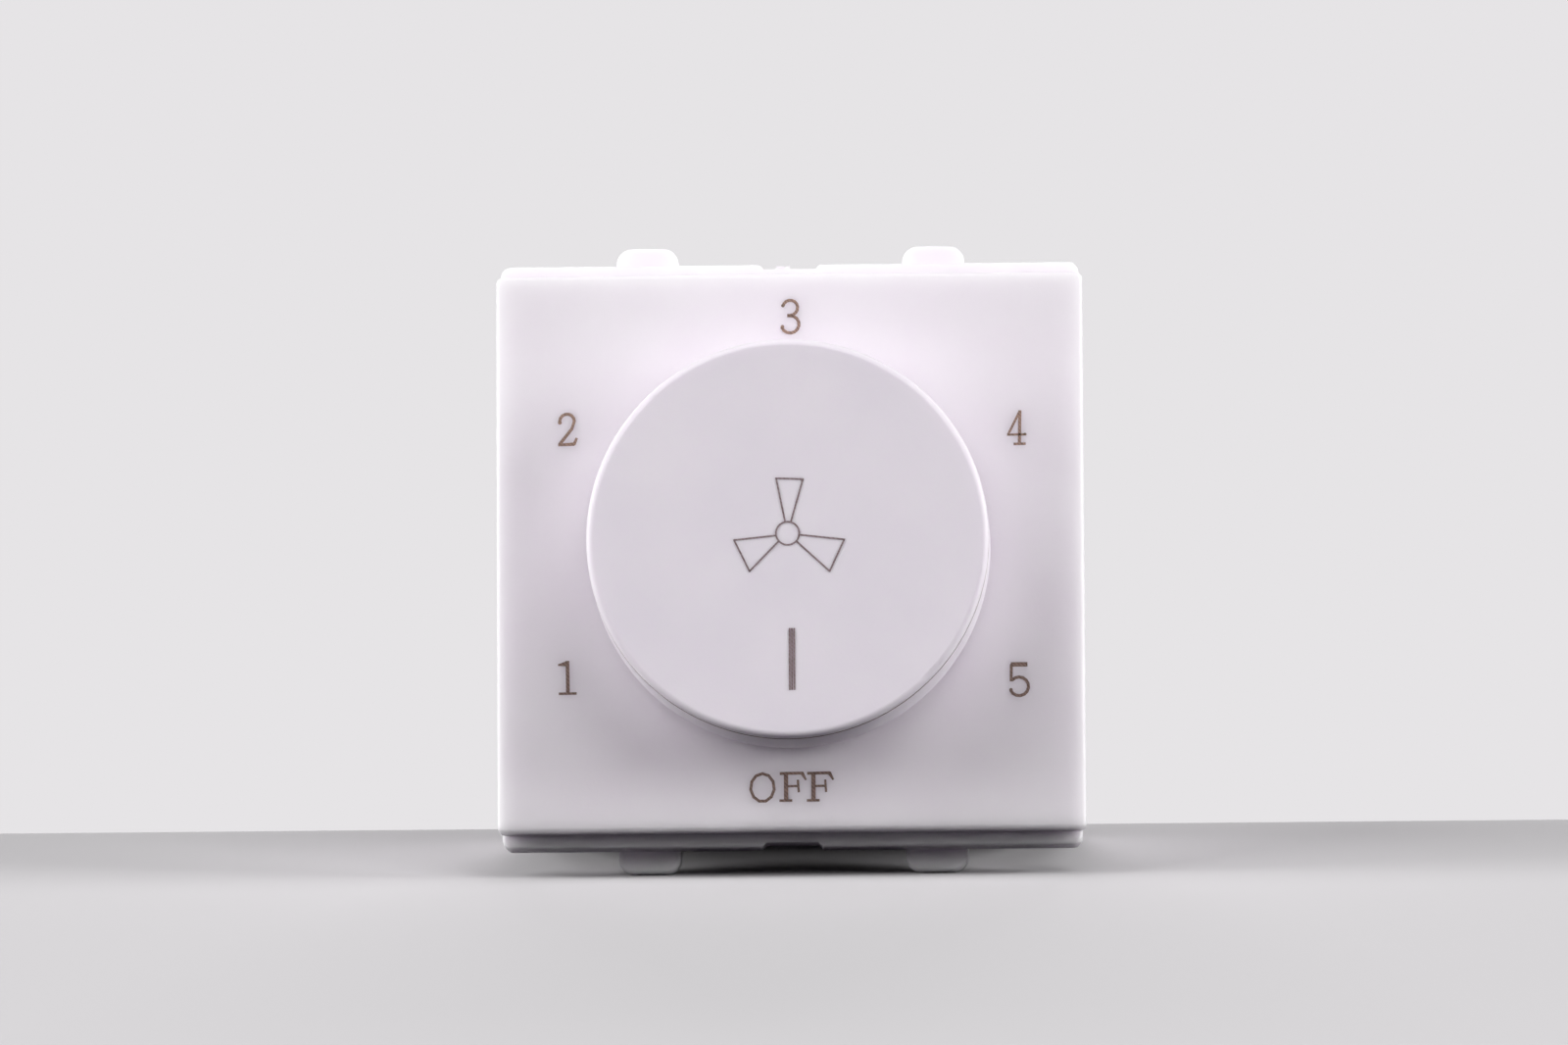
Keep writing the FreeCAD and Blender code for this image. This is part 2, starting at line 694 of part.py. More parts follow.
def wiper_contact():
    """Bent bronze wiper: a disc on the carrier, a long arm to the contacts and a short one to the ring."""
    rear_y = carrier_rear_y + wiper_thickness
    foot_y = contact_face_y - running_clearance
    foot_top = foot_y - wiper_thickness
    disc = drum(wiper_disc_radius, (carrier_rear_y, rear_y))

    def arm(foot_centre, side):
        """Strip that leaves the disc, bends down and ends in a flat foot."""
        foot_start = foot_centre - wiper_foot
        bend = foot_start - wiper_bend
        outline = [
            (carrier_rear_y, 0),
            (carrier_rear_y, bend),
            (foot_top, foot_start),
            (foot_top, foot_centre + wiper_foot),
            (foot_y, foot_centre + wiper_foot),
            (foot_y, foot_start),
            (rear_y, bend),
            (rear_y, 0),
        ]
        return side_profile([(depth, side * height) for depth, height in outline], around(0, wiper_width))

    ring_middle = (ring_inner + ring_outer) / 2
    body = joined(disc, [arm(contact_circle, -1), arm(ring_middle, 1)])
    holes = [drum(stud_radius + running_clearance, (carrier_rear_y, rear_y), side * stud_circle)
             for side in (-1, 1)]
    return body.cut([drum(pivot_radius + running_clearance, (carrier_rear_y, foot_y))] + holes)


def detent_spring():
    """Leaf with a rounded nose that sits in the star's upper valley."""
    y = (star_front_y + slip_clearance, carrier_front_y - slip_clearance)
    level = leaf_level()
    nose_radius = leaf_nose_radius()
    inner_radius = nose_radius - leaf_thickness
    strip = block((-leaf_half_length(), leaf_half_length()), y, (level, level + leaf_thickness))
    strip = strip.cut(block((-inner_radius, inner_radius), y, (level, level + leaf_thickness)))
    nose = drum(nose_radius, y, 0, level).cut(drum(inner_radius, y, 0, level))
    nose = nose.common(block((-nose_radius, nose_radius), y, (level - nose_radius, level)))
    return joined(strip, [nose])


def fixed_contacts():
    """Five rivets with solder pins, one for each speed."""
    rivets = []
    for angle in contact_angles:
        x, z = on_circle(contact_circle, angle)
        rivets.append(turned([
            (0, contact_face_y),
            (contact_radius - contact_chamfer, contact_face_y),
            (contact_radius, contact_face_y + contact_chamfer),
            (contact_radius, switch_floor_y),
            (contact_shank_radius, switch_floor_y),
            (contact_shank_radius, switch_rear_y),
            (pin_radius, switch_rear_y),
            (pin_radius, pin_end_y),
            (0, pin_end_y),
        ], x=x, z=z))
    return Part.makeCompound(rivets)


def common_contact():
    """Flat ring on the case floor with one solder pin."""
    ring_y = (contact_face_y, switch_floor_y)
    ring = drum(ring_outer, ring_y).cut(drum(ring_inner, ring_y))
    return joined(ring, [drum(pin_radius, (switch_floor_y, pin_end_y), *common_pin_place())])


def pan_screw(radius, head_radius, head_front_y, head_depth, tip_y):
    """Screw on the knob axis that points forwards, with a rounded head."""
    head_rear_y = head_front_y + head_depth
    return turned([
        (0, tip_y),
        (radius * (1 - screw_point), tip_y),
        (radius, tip_y + radius * screw_point),
        (radius, head_front_y),
        (head_radius, head_front_y),
        (head_radius, head_front_y + head_depth * pan_head_edge),
        (head_radius * pan_head_top, head_rear_y),
        (0, head_rear_y),
    ])


def cross_recess(head_radius, rear_y, depth):
    """Cross-shaped driver recess on the knob axis."""
    reach = head_radius * recess_reach
    arm = block((-reach, reach), (rear_y - depth, rear_y), around(0, head_radius * recess_width))
    return arm.fuse(turned_by(arm, 90.0))


def switch_screws():
    """Four screws that hold the switch case to its cover."""
    screw = pan_screw(switch_screw_radius, switch_screw_head_radius, switch_rear_y, switch_screw_head,
                      switch_cover_y - switch_screw_bite + slip_clearance)
    screw = screw.cut(cross_recess(switch_screw_head_radius, switch_rear_y + switch_screw_head,
                                   switch_screw_head / 2))
    return Part.makeCompound([screw.translated(vec(x, 0, z)) for x, z in switch_screw_places])


def board_screws():
    """Two screws that hold the board on its bosses."""
    screw = pan_screw(board_screw_radius, board_screw_head_radius, board_rear_y, board_screw_head,
                      board_rear_y - board_screw_length + slip_clearance)
    screw = screw.cut(cross_recess(board_screw_head_radius, board_rear_y + board_screw_head,
                                   board_screw_head / 2))
    return Part.makeCompound([screw.translated(vec(x, 0, z)) for x, z in boss_screw_places])


def capacitor_lead_places(side):
    """(x, z) of the two leads of a capacitor beside the switch."""
    return [(side * capacitor_x, end * capacitor_lead_z) for end in (-1, 1)]


def small_capacitor_lead_places():
    """(x, z) of the small capacitor's leads."""
    reach = small_capacitor_width / 2 - small_capacitor_lead_inset
    return [(end * reach, small_capacitor_z) for end in (-1, 1)]


def resistor_lead_places(spacing, length, z):
    """(x, z) of the leads of two resistors in a row."""
    reach = length / 2 + resistor_lead_run
    return [(side * spacing / 2 + end * reach, z) for side in (-1, 1) for end in (-1, 1)]


def terminal_pin_places(side):
    """(x, z) of the two solder pins under a terminal."""
    return [(side * terminal_x, terminal_z + end * terminal_pin_spacing / 2) for end in (-1, 1)]


def board():
    """Circuit board with holes for its screws, pegs, pins and leads."""
    y = (board_front_y, board_rear_y)
    sheet = rounded_slab((-board_half_x, board_half_x), y, (-board_half_z, board_half_z), bay_corner)
    mount_holes = [drum(board_screw_radius + slip_clearance, y, x, z)
                   for x, z in boss_screw_places + boss_peg_places]
    pins = [on_circle(contact_circle, angle) for angle in contact_angles] + [common_pin_place()]
    pins += terminal_pin_places(-1) + terminal_pin_places(1)
    leads = capacitor_lead_places(-1) + capacitor_lead_places(1) + small_capacitor_lead_places()
    leads += resistor_lead_places(series_resistor_spacing, series_resistor_length, -resistor_z)
    leads += resistor_lead_places(discharge_resistor_spacing, discharge_resistor_length, resistor_z)
    pin_holes = [drum(pin_radius + lead_hole_clearance, y, x, z) for x, z in pins]
    lead_holes = [drum(lead_radius + lead_hole_clearance, y, x, z) for x, z in leads]
    return sheet.cut(mount_holes + pin_holes + lead_holes)


def film_capacitor(x, y, z, potting_y, leads, lead_y):
    """Box capacitor with rounded edges, a potted recess and two leads."""
    case = block(x, y, z)
    lead_face = min(case.Faces, key=lambda face: abs(face.CenterOfMass.y - potting_y))
    keep = [edge.hashCode() for edge in lead_face.Edges]
    case = case.makeFillet(capacitor_round, [edge for edge in case.Edges if edge.hashCode() not in keep])
    inset = capacitor_round
    recess_y = sorted((potting_y, potting_y + math.copysign(capacitor_potting, sum(y) / 2 - potting_y)))
    recess = block((x[0] + inset, x[1] - inset), recess_y, (z[0] + inset, z[1] - inset))
    pins = [drum(lead_radius, lead_y, *place) for place in leads]
    return joined(case.cut(recess), pins)


def side_capacitor(side, depth):
    """Film capacitor in the bay beside the switch, standing on the board."""
    y = (board_front_y - depth, board_front_y)
    lead_y = (board_front_y - capacitor_potting, pin_end_y)
    return film_capacitor(around(side * capacitor_x, capacitor_width), y,
                          (-capacitor_half_length, capacitor_half_length), board_front_y,
                          capacitor_lead_places(side), lead_y)


def capacitor_small():
    """Film capacitor on the board's rear face, above the terminals."""
    lead_y = (board_front_y, board_rear_y + capacitor_potting)
    y = (board_rear_y, board_rear_y + small_capacitor_depth)
    return film_capacitor(around(0, small_capacitor_width), y,
                          around(small_capacitor_z, small_capacitor_height), board_rear_y,
                          small_capacitor_lead_places(), lead_y)


def resistor_pair(radius, length, spacing, z):
    """Two wire-ended resistors that lie in front of the board."""
    centre_y = board_front_y - resistor_standoff - radius
    half = length / 2
    waist = radius - resistor_waist
    cap = resistor_cap_length
    profile = [(-half, 0), (-half, radius), (cap - half, radius), (cap - half, waist), (half - cap, waist),
               (half - cap, radius), (half, radius), (half, 0)]
    points = [vec(across, centre_y + height, z) for across, height in profile]
    face = Part.Face(Part.makePolygon(points + points[:1]))
    barrel = face.revolve(vec(0, centre_y, z), vec(1, 0, 0), 360)
    reach = half + resistor_lead_run
    wire = Part.makeCylinder(lead_radius, 2 * reach, vec(-reach, centre_y, z), vec(1, 0, 0))
    knees = [Part.makeSphere(lead_radius, vec(end * reach, centre_y, z)) for end in (-1, 1)]
    legs = [drum(lead_radius, (centre_y, board_rear_y), end * reach, z) for end in (-1, 1)]
    one = barrel.fuse([wire] + knees + legs)
    return Part.makeCompound([one.translated(vec(side * spacing / 2, 0, 0)) for side in (-1, 1)])


def terminal(side):
    """Brass pillar with a wire bore along Z, a screw hole from behind and two solder pins."""
    x = side * terminal_x
    z = around(terminal_z, terminal_height)
    pillar = block(around(x, terminal_width), (board_rear_y, terminal_rear_y), z)
    pillar = pillar.makeFillet(terminal_round, edges_along(pillar, vec(0, 1, 0)))
    pins = [drum(pin_radius, (board_front_y, board_rear_y), *place) for place in terminal_pin_places(side)]
    bore = Part.makeCylinder(wire_bore_radius, terminal_height, vec(x, wire_bore_y, z[0]), vec(0, 0, 1))
    tapped = drum(terminal_screw_radius + running_clearance, (wire_bore_y, terminal_rear_y), x, terminal_z)
    return joined(pillar, pins).cut([bore, tapped])


def terminal_screw(side):
    """Slotted cheese-head clamping screw, backed off so that the wire bore is open."""
    tip_y = wire_bore_y + wire_bore_radius + screw_tip_gap
    head_y = terminal_rear_y + terminal_head_lift
    head_rear_y = head_y + terminal_head
    screw = turned([
        (0, tip_y),
        (terminal_screw_radius - terminal_point, tip_y),
        (terminal_screw_radius, tip_y + terminal_point),
        (terminal_screw_radius, head_y),
        (terminal_head_radius, head_y),
        (terminal_head_radius, head_rear_y - terminal_head_chamfer),
        (terminal_head_radius - terminal_head_chamfer, head_rear_y),
        (0, head_rear_y),
    ])
    slot = block((-terminal_head_radius, terminal_head_radius),
                 (head_rear_y - terminal_slot_depth, head_rear_y), around(0, terminal_slot_width))
    return screw.cut(slot).translated(vec(side * terminal_x, 0, terminal_z))


nodes = {
    "front_plate": front_plate(),
    "housing": housing(),
    "rear_cover": rear_cover(),
    "knob": knob(),
    "knob_clip": knob_clip(),
    "bush_nut": bush_nut(),
    "lock_washer": lock_washer(),
    "switch_cover": switch_cover(),
    "switch_case": switch_case(),
    "rotor_shaft": rotor_shaft(),
    "wiper_contact": wiper_contact(),
    "detent_spring": detent_spring(),
    "fixed_contacts": fixed_contacts(),
    "common_contact": common_contact(),
    "switch_screws": switch_screws(),
    "board": board(),
    "capacitor_large": side_capacitor(-1, capacitor_large_depth),
    "capacitor_medium": side_capacitor(1, capacitor_medium_depth),
    "capacitor_small": capacitor_small(),
    "discharge_resistors": resistor_pair(discharge_resistor_radius, discharge_resistor_length,
                                         discharge_resistor_spacing, resistor_z),
    "series_resistors": resistor_pair(series_resistor_radius, series_resistor_length,
                                      series_resistor_spacing, -resistor_z),
    "board_screws": board_screws(),
    "line_terminal": terminal(1),
    "load_terminal": terminal(-1),
    "line_screw": terminal_screw(1),
    "load_screw": terminal_screw(-1),
}

os.makedirs("parts", exist_ok=True)
for name, shape in nodes.items():
    shape.exportStep(os.path.join("parts", name + ".step"))
    print(name, len(shape.Solids), round(shape.Volume, 2), shape.isValid())
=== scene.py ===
import logging
import math
from dataclasses import dataclass
from enum import Enum
from functools import cache
from typing import Any

import bmesh
import bpy
from mathutils import Matrix, Quaternion, Vector, noise
from mathutils.bvhtree import BVHTree


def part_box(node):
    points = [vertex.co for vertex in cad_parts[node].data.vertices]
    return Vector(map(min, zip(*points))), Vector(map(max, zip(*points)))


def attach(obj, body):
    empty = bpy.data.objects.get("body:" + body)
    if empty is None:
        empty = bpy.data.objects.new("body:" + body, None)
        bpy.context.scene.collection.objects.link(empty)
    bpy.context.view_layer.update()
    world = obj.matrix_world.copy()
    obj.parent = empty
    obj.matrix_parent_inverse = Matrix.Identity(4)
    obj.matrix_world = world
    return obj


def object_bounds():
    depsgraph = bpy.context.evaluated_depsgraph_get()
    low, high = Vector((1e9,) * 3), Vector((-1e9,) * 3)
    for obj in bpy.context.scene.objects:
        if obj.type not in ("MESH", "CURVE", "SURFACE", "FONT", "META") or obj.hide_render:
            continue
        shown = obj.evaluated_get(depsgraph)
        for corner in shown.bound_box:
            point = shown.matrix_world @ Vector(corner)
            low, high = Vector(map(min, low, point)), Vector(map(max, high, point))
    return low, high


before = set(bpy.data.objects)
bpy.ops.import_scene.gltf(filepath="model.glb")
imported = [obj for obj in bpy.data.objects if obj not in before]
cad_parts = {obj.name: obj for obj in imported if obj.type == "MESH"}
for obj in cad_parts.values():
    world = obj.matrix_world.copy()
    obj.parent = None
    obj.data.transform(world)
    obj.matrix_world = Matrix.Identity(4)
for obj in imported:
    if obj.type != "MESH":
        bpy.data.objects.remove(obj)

# Looks of a fan speed control switch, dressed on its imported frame.
# X runs to the right, Y into the wall and Z up. Drawing sizes are in millimetres, meshes in metres.
MM = 0.001
MERGE_MM = 0.0001
IMAGE_WIDTH = 1600
CAD_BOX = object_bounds()
LOG = logging.getLogger("fan_speed_switch")
# Range of most values of a Noise texture, and how finely its two uses break up
NOISE_LOW = 0.3
NOISE_HIGH = 0.7
CLOUD_DETAIL = 4.0
GRIT_DETAIL = 2.0
# Length of one wave of a Wave texture at a scale of 1
WAVE_LENGTH = math.tau / 10
# Numbers of a Mix node's colour sockets, which share their names with its other sockets
COLOUR_A = 6
COLOUR_B = 7
COLOUR_MIXED = 2


class Body(Enum):
    """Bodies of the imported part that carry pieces."""

    BASE = "base"
    DIAL = "dial"


def linear(hex_colour: str) -> tuple[float, float, float, float]:
    """Turns an sRGB hex colour into linear light.

    Args:
        hex_colour: Hash sign and six hexadecimal digits.

    Returns:
        Linear red, green and blue, and an alpha of 1.
    """
    shares = [int(hex_colour[start:start + 2], 16) / 255 for start in (1, 3, 5)]
    lit = [share / 12.92 if share <= 0.04045 else ((share + 0.055) / 1.055) ** 2.4 for share in shares]
    return lit[0], lit[1], lit[2], 1.0


def pattern_scale(size_mm: float) -> float:
    """Scale of a texture on Object coordinates whose features are this many millimetres across."""
    return 1 / (size_mm * MM)


def add_node(tree: bpy.types.NodeTree, kind: str, inputs: dict[str | int, Any] | None = None,
             **settings: Any) -> bpy.types.Node:
    """Adds a shader node with its settings, values and links.

    Args:
        tree: Node tree of a material or of the world.
        kind: Blender's name for the kind of node.
        inputs: Socket names or numbers, each with a value or with the output socket to link from.
        settings: Attributes of the node.

    Returns:
        The new node.
    """
    node = tree.nodes.new(kind)
    for name, value in settings.items():
        setattr(node, name, value)
    for name, value in (inputs or {}).items():
        if isinstance(value, bpy.types.NodeSocket):
            tree.links.new(value, node.inputs[name])
        else:
            node.inputs[name].default_value = value
    return node


@dataclass(frozen=True)
class Finish:
    """A surface as it leaves the maker: what it is made of and how it scatters light."""

    name: str
    light: str
    dark: str
    roughness: float
    roughness_spread: float
    mottle_mm: float
    grit_mm: float
    grit_height_mm: float

    @cache
    def material(self) -> bpy.types.Material:
        """Builds the finish as a node material, once.

        Returns:
            The material with its colour, roughness and bump driven by patterns.
        """
        made = bpy.data.materials.new(self.name)
        made.use_nodes = True
        tree = made.node_tree
        shader = tree.nodes["Principled BSDF"]
        place = add_node(tree, "ShaderNodeTexCoord").outputs["Object"]
        tree.links.new(self.tone(tree, place), shader.inputs["Base Color"])
        self.surface(tree, shader, place)
        self.body(shader)
        return made

    def clouds(self, tree: bpy.types.NodeTree, place: bpy.types.NodeSocket) -> bpy.types.NodeSocket:
        """Spreads soft clouds through the colour.

        Args:
            tree: Node tree of the material.
            place: Object coordinates.

        Returns:
            Share of the light tone, mostly from NOISE_LOW to NOISE_HIGH.
        """
        mottle = add_node(tree, "ShaderNodeTexNoise", {
            "Vector": place, "Scale": pattern_scale(self.mottle_mm), "Detail": CLOUD_DETAIL})
        return mottle.outputs["Fac"]

    def tone(self, tree: bpy.types.NodeTree, place: bpy.types.NodeSocket) -> bpy.types.NodeSocket:
        """Clouds the colour between its dark and light tones.

        Args:
            tree: Node tree of the material.
            place: Object coordinates.

        Returns:
            Socket of the colour.
        """
        share = add_node(tree, "ShaderNodeMapRange", {
            "Value": self.clouds(tree, place), "From Min": NOISE_LOW, "From Max": NOISE_HIGH})
        mixed = add_node(tree, "ShaderNodeMix", {
            "Factor": share.outputs["Result"], COLOUR_A: linear(self.dark),
            COLOUR_B: linear(self.light)}, data_type="RGBA")
        return mixed.outputs[COLOUR_MIXED]

    def surface(self, tree: bpy.types.NodeTree, shader: bpy.types.Node,
                place: bpy.types.NodeSocket) -> None:
        """Gives the skin its grit and an uneven polish.

        Args:
            tree: Node tree of the material.
            shader: Its principled shader.
            place: Object coordinates.
        """
        grit = add_node(tree, "ShaderNodeTexNoise", {
            "Vector": place, "Scale": pattern_scale(self.grit_mm), "Detail": GRIT_DETAIL})
        polish = add_node(tree, "ShaderNodeMapRange", {
            "Value": grit.outputs["Fac"], "To Min": self.roughness - self.roughness_spread,
            "To Max": self.roughness + self.roughness_spread})
        bump = add_node(tree, "ShaderNodeBump", {
            "Height": grit.outputs["Fac"], "Distance": self.grit_height_mm * MM, "Strength": 1.0})
        tree.links.new(polish.outputs["Result"], shader.inputs["Roughness"])
        tree.links.new(bump.outputs["Normal"], shader.inputs["Normal"])

    def body(self, shader: bpy.types.Node) -> None:
        """Sets what is the same all over: nothing for an opaque dielectric."""


@dataclass(frozen=True)
class Moulding(Finish):
    """Plastic from a fine-sparked mould, which may let some light in below its skin."""

    ior: float = 1.58
    gloss: float = 0.5
    glow: float = 0.0
    glow_depth_mm: float = 1.0
    glow_spread: tuple[float, float, float] = (1.0, 0.95, 1.0)

    def body(self, shader: bpy.types.Node) -> None:
        """Sets the refraction, the strength of the gloss and the glow below the skin.

        Args:
            shader: Principled shader of the material.
        """
        shader.inputs["IOR"].default_value = self.ior
        shader.inputs["Specular IOR Level"].default_value = self.gloss
        shader.inputs["Subsurface Weight"].default_value = self.glow
        shader.inputs["Subsurface Radius"].default_value = self.glow_spread
        shader.inputs["Subsurface Scale"].default_value = self.glow_depth_mm * MM


@dataclass(frozen=True)
class SeamedMoulding(Moulding):
    """Moulding with a seam round it, painted dark as the shade that falls in it."""

    seam_front_mm: float = 0.0
    seam_width_mm: float = 0.0
    # Colour of the painted shade in the seam
    seam_shade: str = "#70574f"

    def tone(self, tree: bpy.types.NodeTree, place: bpy.types.NodeSocket) -> bpy.types.NodeSocket:
        """Paints shade into the colour in the seam.

        Args:
            tree: Node tree of the material.
            place: Object coordinates.

        Returns:
            Socket of the colour.
        """
        depth = add_node(tree, "ShaderNodeSeparateXYZ", {"Vector": place}).outputs["Y"]
        middle = self.seam_front_mm + self.seam_width_mm / 2
        sunk = add_node(tree, "ShaderNodeMath", {
            0: depth, 1: middle * MM, 2: self.seam_width_mm / 2 * MM}, operation="COMPARE")
        mixed = add_node(tree, "ShaderNodeMix", {
            "Factor": sunk.outputs["Value"], COLOUR_A: super().tone(tree, place),
            COLOUR_B: linear(self.seam_shade)}, data_type="RGBA")
        return mixed.outputs[COLOUR_MIXED]


@dataclass(frozen=True)
class Metal(Finish):
    """Bare or plated metal with the fine lines of its rolling or turning."""

    line_length: float = 14.0
    line_axis: int = 0

    def surface(self, tree: bpy.types.NodeTree, shader: bpy.types.Node,
                place: bpy.types.NodeSocket) -> None:
        """Draws fine lines along one axis in the polish and the bump.

        Args:
            tree: Node tree of the material.
            shader: Its principled shader.
            place: Object coordinates.
        """
        stretch = [1.0, 1.0, 1.0]
        stretch[self.line_axis] = 1 / self.line_length
        drawn = add_node(tree, "ShaderNodeMapping", {"Vector": place, "Scale": stretch})
        super().surface(tree, shader, drawn.outputs["Vector"])

    def body(self, shader: bpy.types.Node) -> None:
        """Makes the surface metallic."""
        shader.inputs["Metallic"].default_value = 1.0


@dataclass(frozen=True)
class Laminate(Finish):
    """Paper-phenolic sheet with long fibres that run across the board."""

    fibre_length: float = 9.0

    def clouds(self, tree: bpy.types.NodeTree, place: bpy.types.NodeSocket) -> bpy.types.NodeSocket:
        """Draws the clouds out into paper fibres.

        Args:
            tree: Node tree of the material.
            place: Object coordinates.

        Returns:
            Share of the light tone.
        """
        stretch = (1 / self.fibre_length, 1.0, 1.0)
        drawn = add_node(tree, "ShaderNodeMapping", {"Vector": place, "Scale": stretch})
        return super().clouds(tree, drawn.outputs["Vector"])


@dataclass(frozen=True)
class BandedLacquer(Finish):
    """Lacquered resistor bodies in a row, each with value bands round it."""

    spacing_mm: float = 15.0
    half_length_mm: float = 4.5
    band_mm: float = 0.6
    band_pitch_mm: float = 1.4
    bands: tuple[str, ...] = ("#6b3f1f", "#c9a23a", "#1b1a1a")
    lead: str = "#b9b6b0"

    def tone(self, tree: bpy.types.NodeTree, place: bpy.types.NodeSocket) -> bpy.types.NodeSocket:
        """Paints bands along each body, and bare wire beyond its ends.

        Args:
            tree: Node tree of the material.
            place: Object coordinates.

        Returns:
            Socket of the colour.
        """
        across = add_node(tree, "ShaderNodeSeparateXYZ", {"Vector": place}).outputs["X"]
        side = add_node(tree, "ShaderNodeMath", {0: across}, operation="ABSOLUTE").outputs["Value"]
        painted = super().tone(tree, place)
        for index, band in enumerate(self.bands):
            middle = self.spacing_mm / 2 + (index - 1) * self.band_pitch_mm
            ringed = add_node(tree, "ShaderNodeMath", {
                0: side, 1: middle * MM, 2: self.band_mm / 2 * MM}, operation="COMPARE")
            mixed = add_node(tree, "ShaderNodeMix", {
                "Factor": ringed.outputs["Value"], COLOUR_A: painted, COLOUR_B: linear(band)},
                data_type="RGBA")
            painted = mixed.outputs[COLOUR_MIXED]
        coated = add_node(tree, "ShaderNodeMath", {
            0: side, 1: self.spacing_mm / 2 * MM, 2: self.half_length_mm * MM}, operation="COMPARE")
        finished = add_node(tree, "ShaderNodeMix", {
            "Factor": coated.outputs["Value"], COLOUR_A: linear(self.lead), COLOUR_B: painted},
            data_type="RGBA")
        return finished.outputs[COLOUR_MIXED]


@dataclass(frozen=True)
class LaserScorch(Finish):
    """Plastic browned by a marking laser, its passes drawn coarser than the real 0.05 mm to be seen."""

    pass_mm: float = 0.3
    pass_share: float = 0.3
    waver: float = 1.5

    def clouds(self, tree: bpy.types.NodeTree, place: bpy.types.NodeSocket) -> bpy.types.NodeSocket:
        """Crosses the clouds with the laser's passes.

        Args:
            tree: Node tree of the material.
            place: Object coordinates.

        Returns:
            Share of the light tone.
        """
        passes = add_node(tree, "ShaderNodeTexWave", {
            "Vector": place, "Scale": pattern_scale(self.pass_mm) * WAVE_LENGTH,
            "Distortion": self.waver}, bands_direction="DIAGONAL")
        mixed = add_node(tree, "ShaderNodeMix", {
            "Factor": self.pass_share, "A": super().clouds(tree, place), "B": passes.outputs["Fac"]})
        return mixed.outputs["Result"]


# White polycarbonate of the case: satin, faintly lilac, glowing softly along its edges
WHITE_POLYCARBONATE = Moulding(
    "satin_white_polycarbonate", light="#ece7ed", dark="#e8e2e9",
    roughness=0.42, roughness_spread=0.06, mottle_mm=7.0, grit_mm=0.22, grit_height_mm=0.004,
    gloss=0.3, glow=1.0, glow_depth_mm=1.8)
# White polycarbonate of the plate: the same resin, with light spreading farther in from its edges
PLATE_POLYCARBONATE = Moulding(
    "satin_plate_polycarbonate", light="#f0e9f1", dark="#ede5ee",
    roughness=0.42, roughness_spread=0.06, mottle_mm=7.0, grit_mm=0.22, grit_height_mm=0.004,
    gloss=0.3, glow=1.0, glow_depth_mm=2.8, glow_spread=(1.0, 1.0, 1.0))
# Seam round the knob's cap: its place behind the knob's face and its width, with a hair to spare
KNOB_SEAM_SETBACK_MM = 0.59
KNOB_SEAM_WIDTH_MM = 0.37
# White polycarbonate of the knob: the same resin with more pigment, so that its edges look crisper
# Its seam is painted dark brown as the shade that falls in it
KNOB_POLYCARBONATE = SeamedMoulding(
    "satin_knob_polycarbonate", light="#e7e1e8", dark="#e3dde5",
    roughness=0.45, roughness_spread=0.06, mottle_mm=7.0, grit_mm=0.22, grit_height_mm=0.004,
    gloss=0.3, glow=1.0, glow_depth_mm=0.5,
    seam_front_mm=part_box("knob")[0].y / MM + KNOB_SEAM_SETBACK_MM, seam_width_mm=KNOB_SEAM_WIDTH_MM)
# Brown scorch left in the white plastic by a marking laser
LASER_BROWN = LaserScorch(
    "laser_brown", light="#886f65", dark="#58433e",
    roughness=0.7, roughness_spread=0.1, mottle_mm=0.3, grit_mm=0.06, grit_height_mm=0.004)
# Paler scorch of the upper numerals
LASER_TAN = LaserScorch(
    "laser_tan", light="#a38676", dark="#705850",
    roughness=0.7, roughness_spread=0.1, mottle_mm=0.3, grit_mm=0.06, grit_height_mm=0.004)
# Grey-brown scorch of the knob's signs, drawn with a weaker beam
LASER_GREY = LaserScorch(
    "laser_grey", light="#8f7e82", dark="#6a5759",
    roughness=0.7, roughness_spread=0.1, mottle_mm=0.4, grit_mm=0.06, grit_height_mm=0.004)
# Thermosetting phenolic: dense black with faint flow clouds
BLACK_PHENOLIC = Moulding(
    "moulded_black_phenolic", light="#232120", dark="#171615",
    roughness=0.4, roughness_spread=0.08, mottle_mm=3.0, grit_mm=0.15, grit_height_mm=0.004, ior=1.6)
# Unfilled nylon: ivory and waxy, with light deep below its skin
NATURAL_NYLON = Moulding(
    "waxy_natural_nylon", light="#e9e1cf", dark="#ddd3bd",
    roughness=0.4, roughness_spread=0.06, mottle_mm=3.0, grit_mm=0.2, grit_height_mm=0.003,
    ior=1.53, glow=0.5, glow_depth_mm=1.5)
# Bright zinc plate with a blue passivation that clouds to straw
ZINC_PLATE = Metal(
    "bright_zinc_plate", light="#c6cbd2", dark="#b7b6ae",
    roughness=0.32, roughness_spread=0.08, mottle_mm=1.5, grit_mm=0.05, grit_height_mm=0.002)
# Blued spring steel strip, rolled along X
SPRING_STEEL = Metal(
    "rolled_spring_steel", light="#8f939b", dark="#74777f",
    roughness=0.3, roughness_spread=0.08, mottle_mm=1.2, grit_mm=0.05, grit_height_mm=0.002)
# Phosphor bronze strip, rolled along Z, pinker than brass
PHOSPHOR_BRONZE = Metal(
    "rolled_phosphor_bronze", light="#d0936a", dark="#bb7f58",
    roughness=0.3, roughness_spread=0.08, mottle_mm=1.2, grit_mm=0.05, grit_height_mm=0.002, line_axis=2)
# Silver plate on brass, softly tarnished
SILVER_PLATE = Metal(
    "tarnished_silver_plate", light="#dcd9d2", dark="#c2bdb2",
    roughness=0.28, roughness_spread=0.08, mottle_mm=0.9, grit_mm=0.05, grit_height_mm=0.002)
# Drawn brass bar with lines along Z
BRASS = Metal(
    "drawn_brass", light="#d8b268", dark="#c49a4f",
    roughness=0.3, roughness_spread=0.08, mottle_mm=1.4, grit_mm=0.06, grit_height_mm=0.003, line_axis=2)
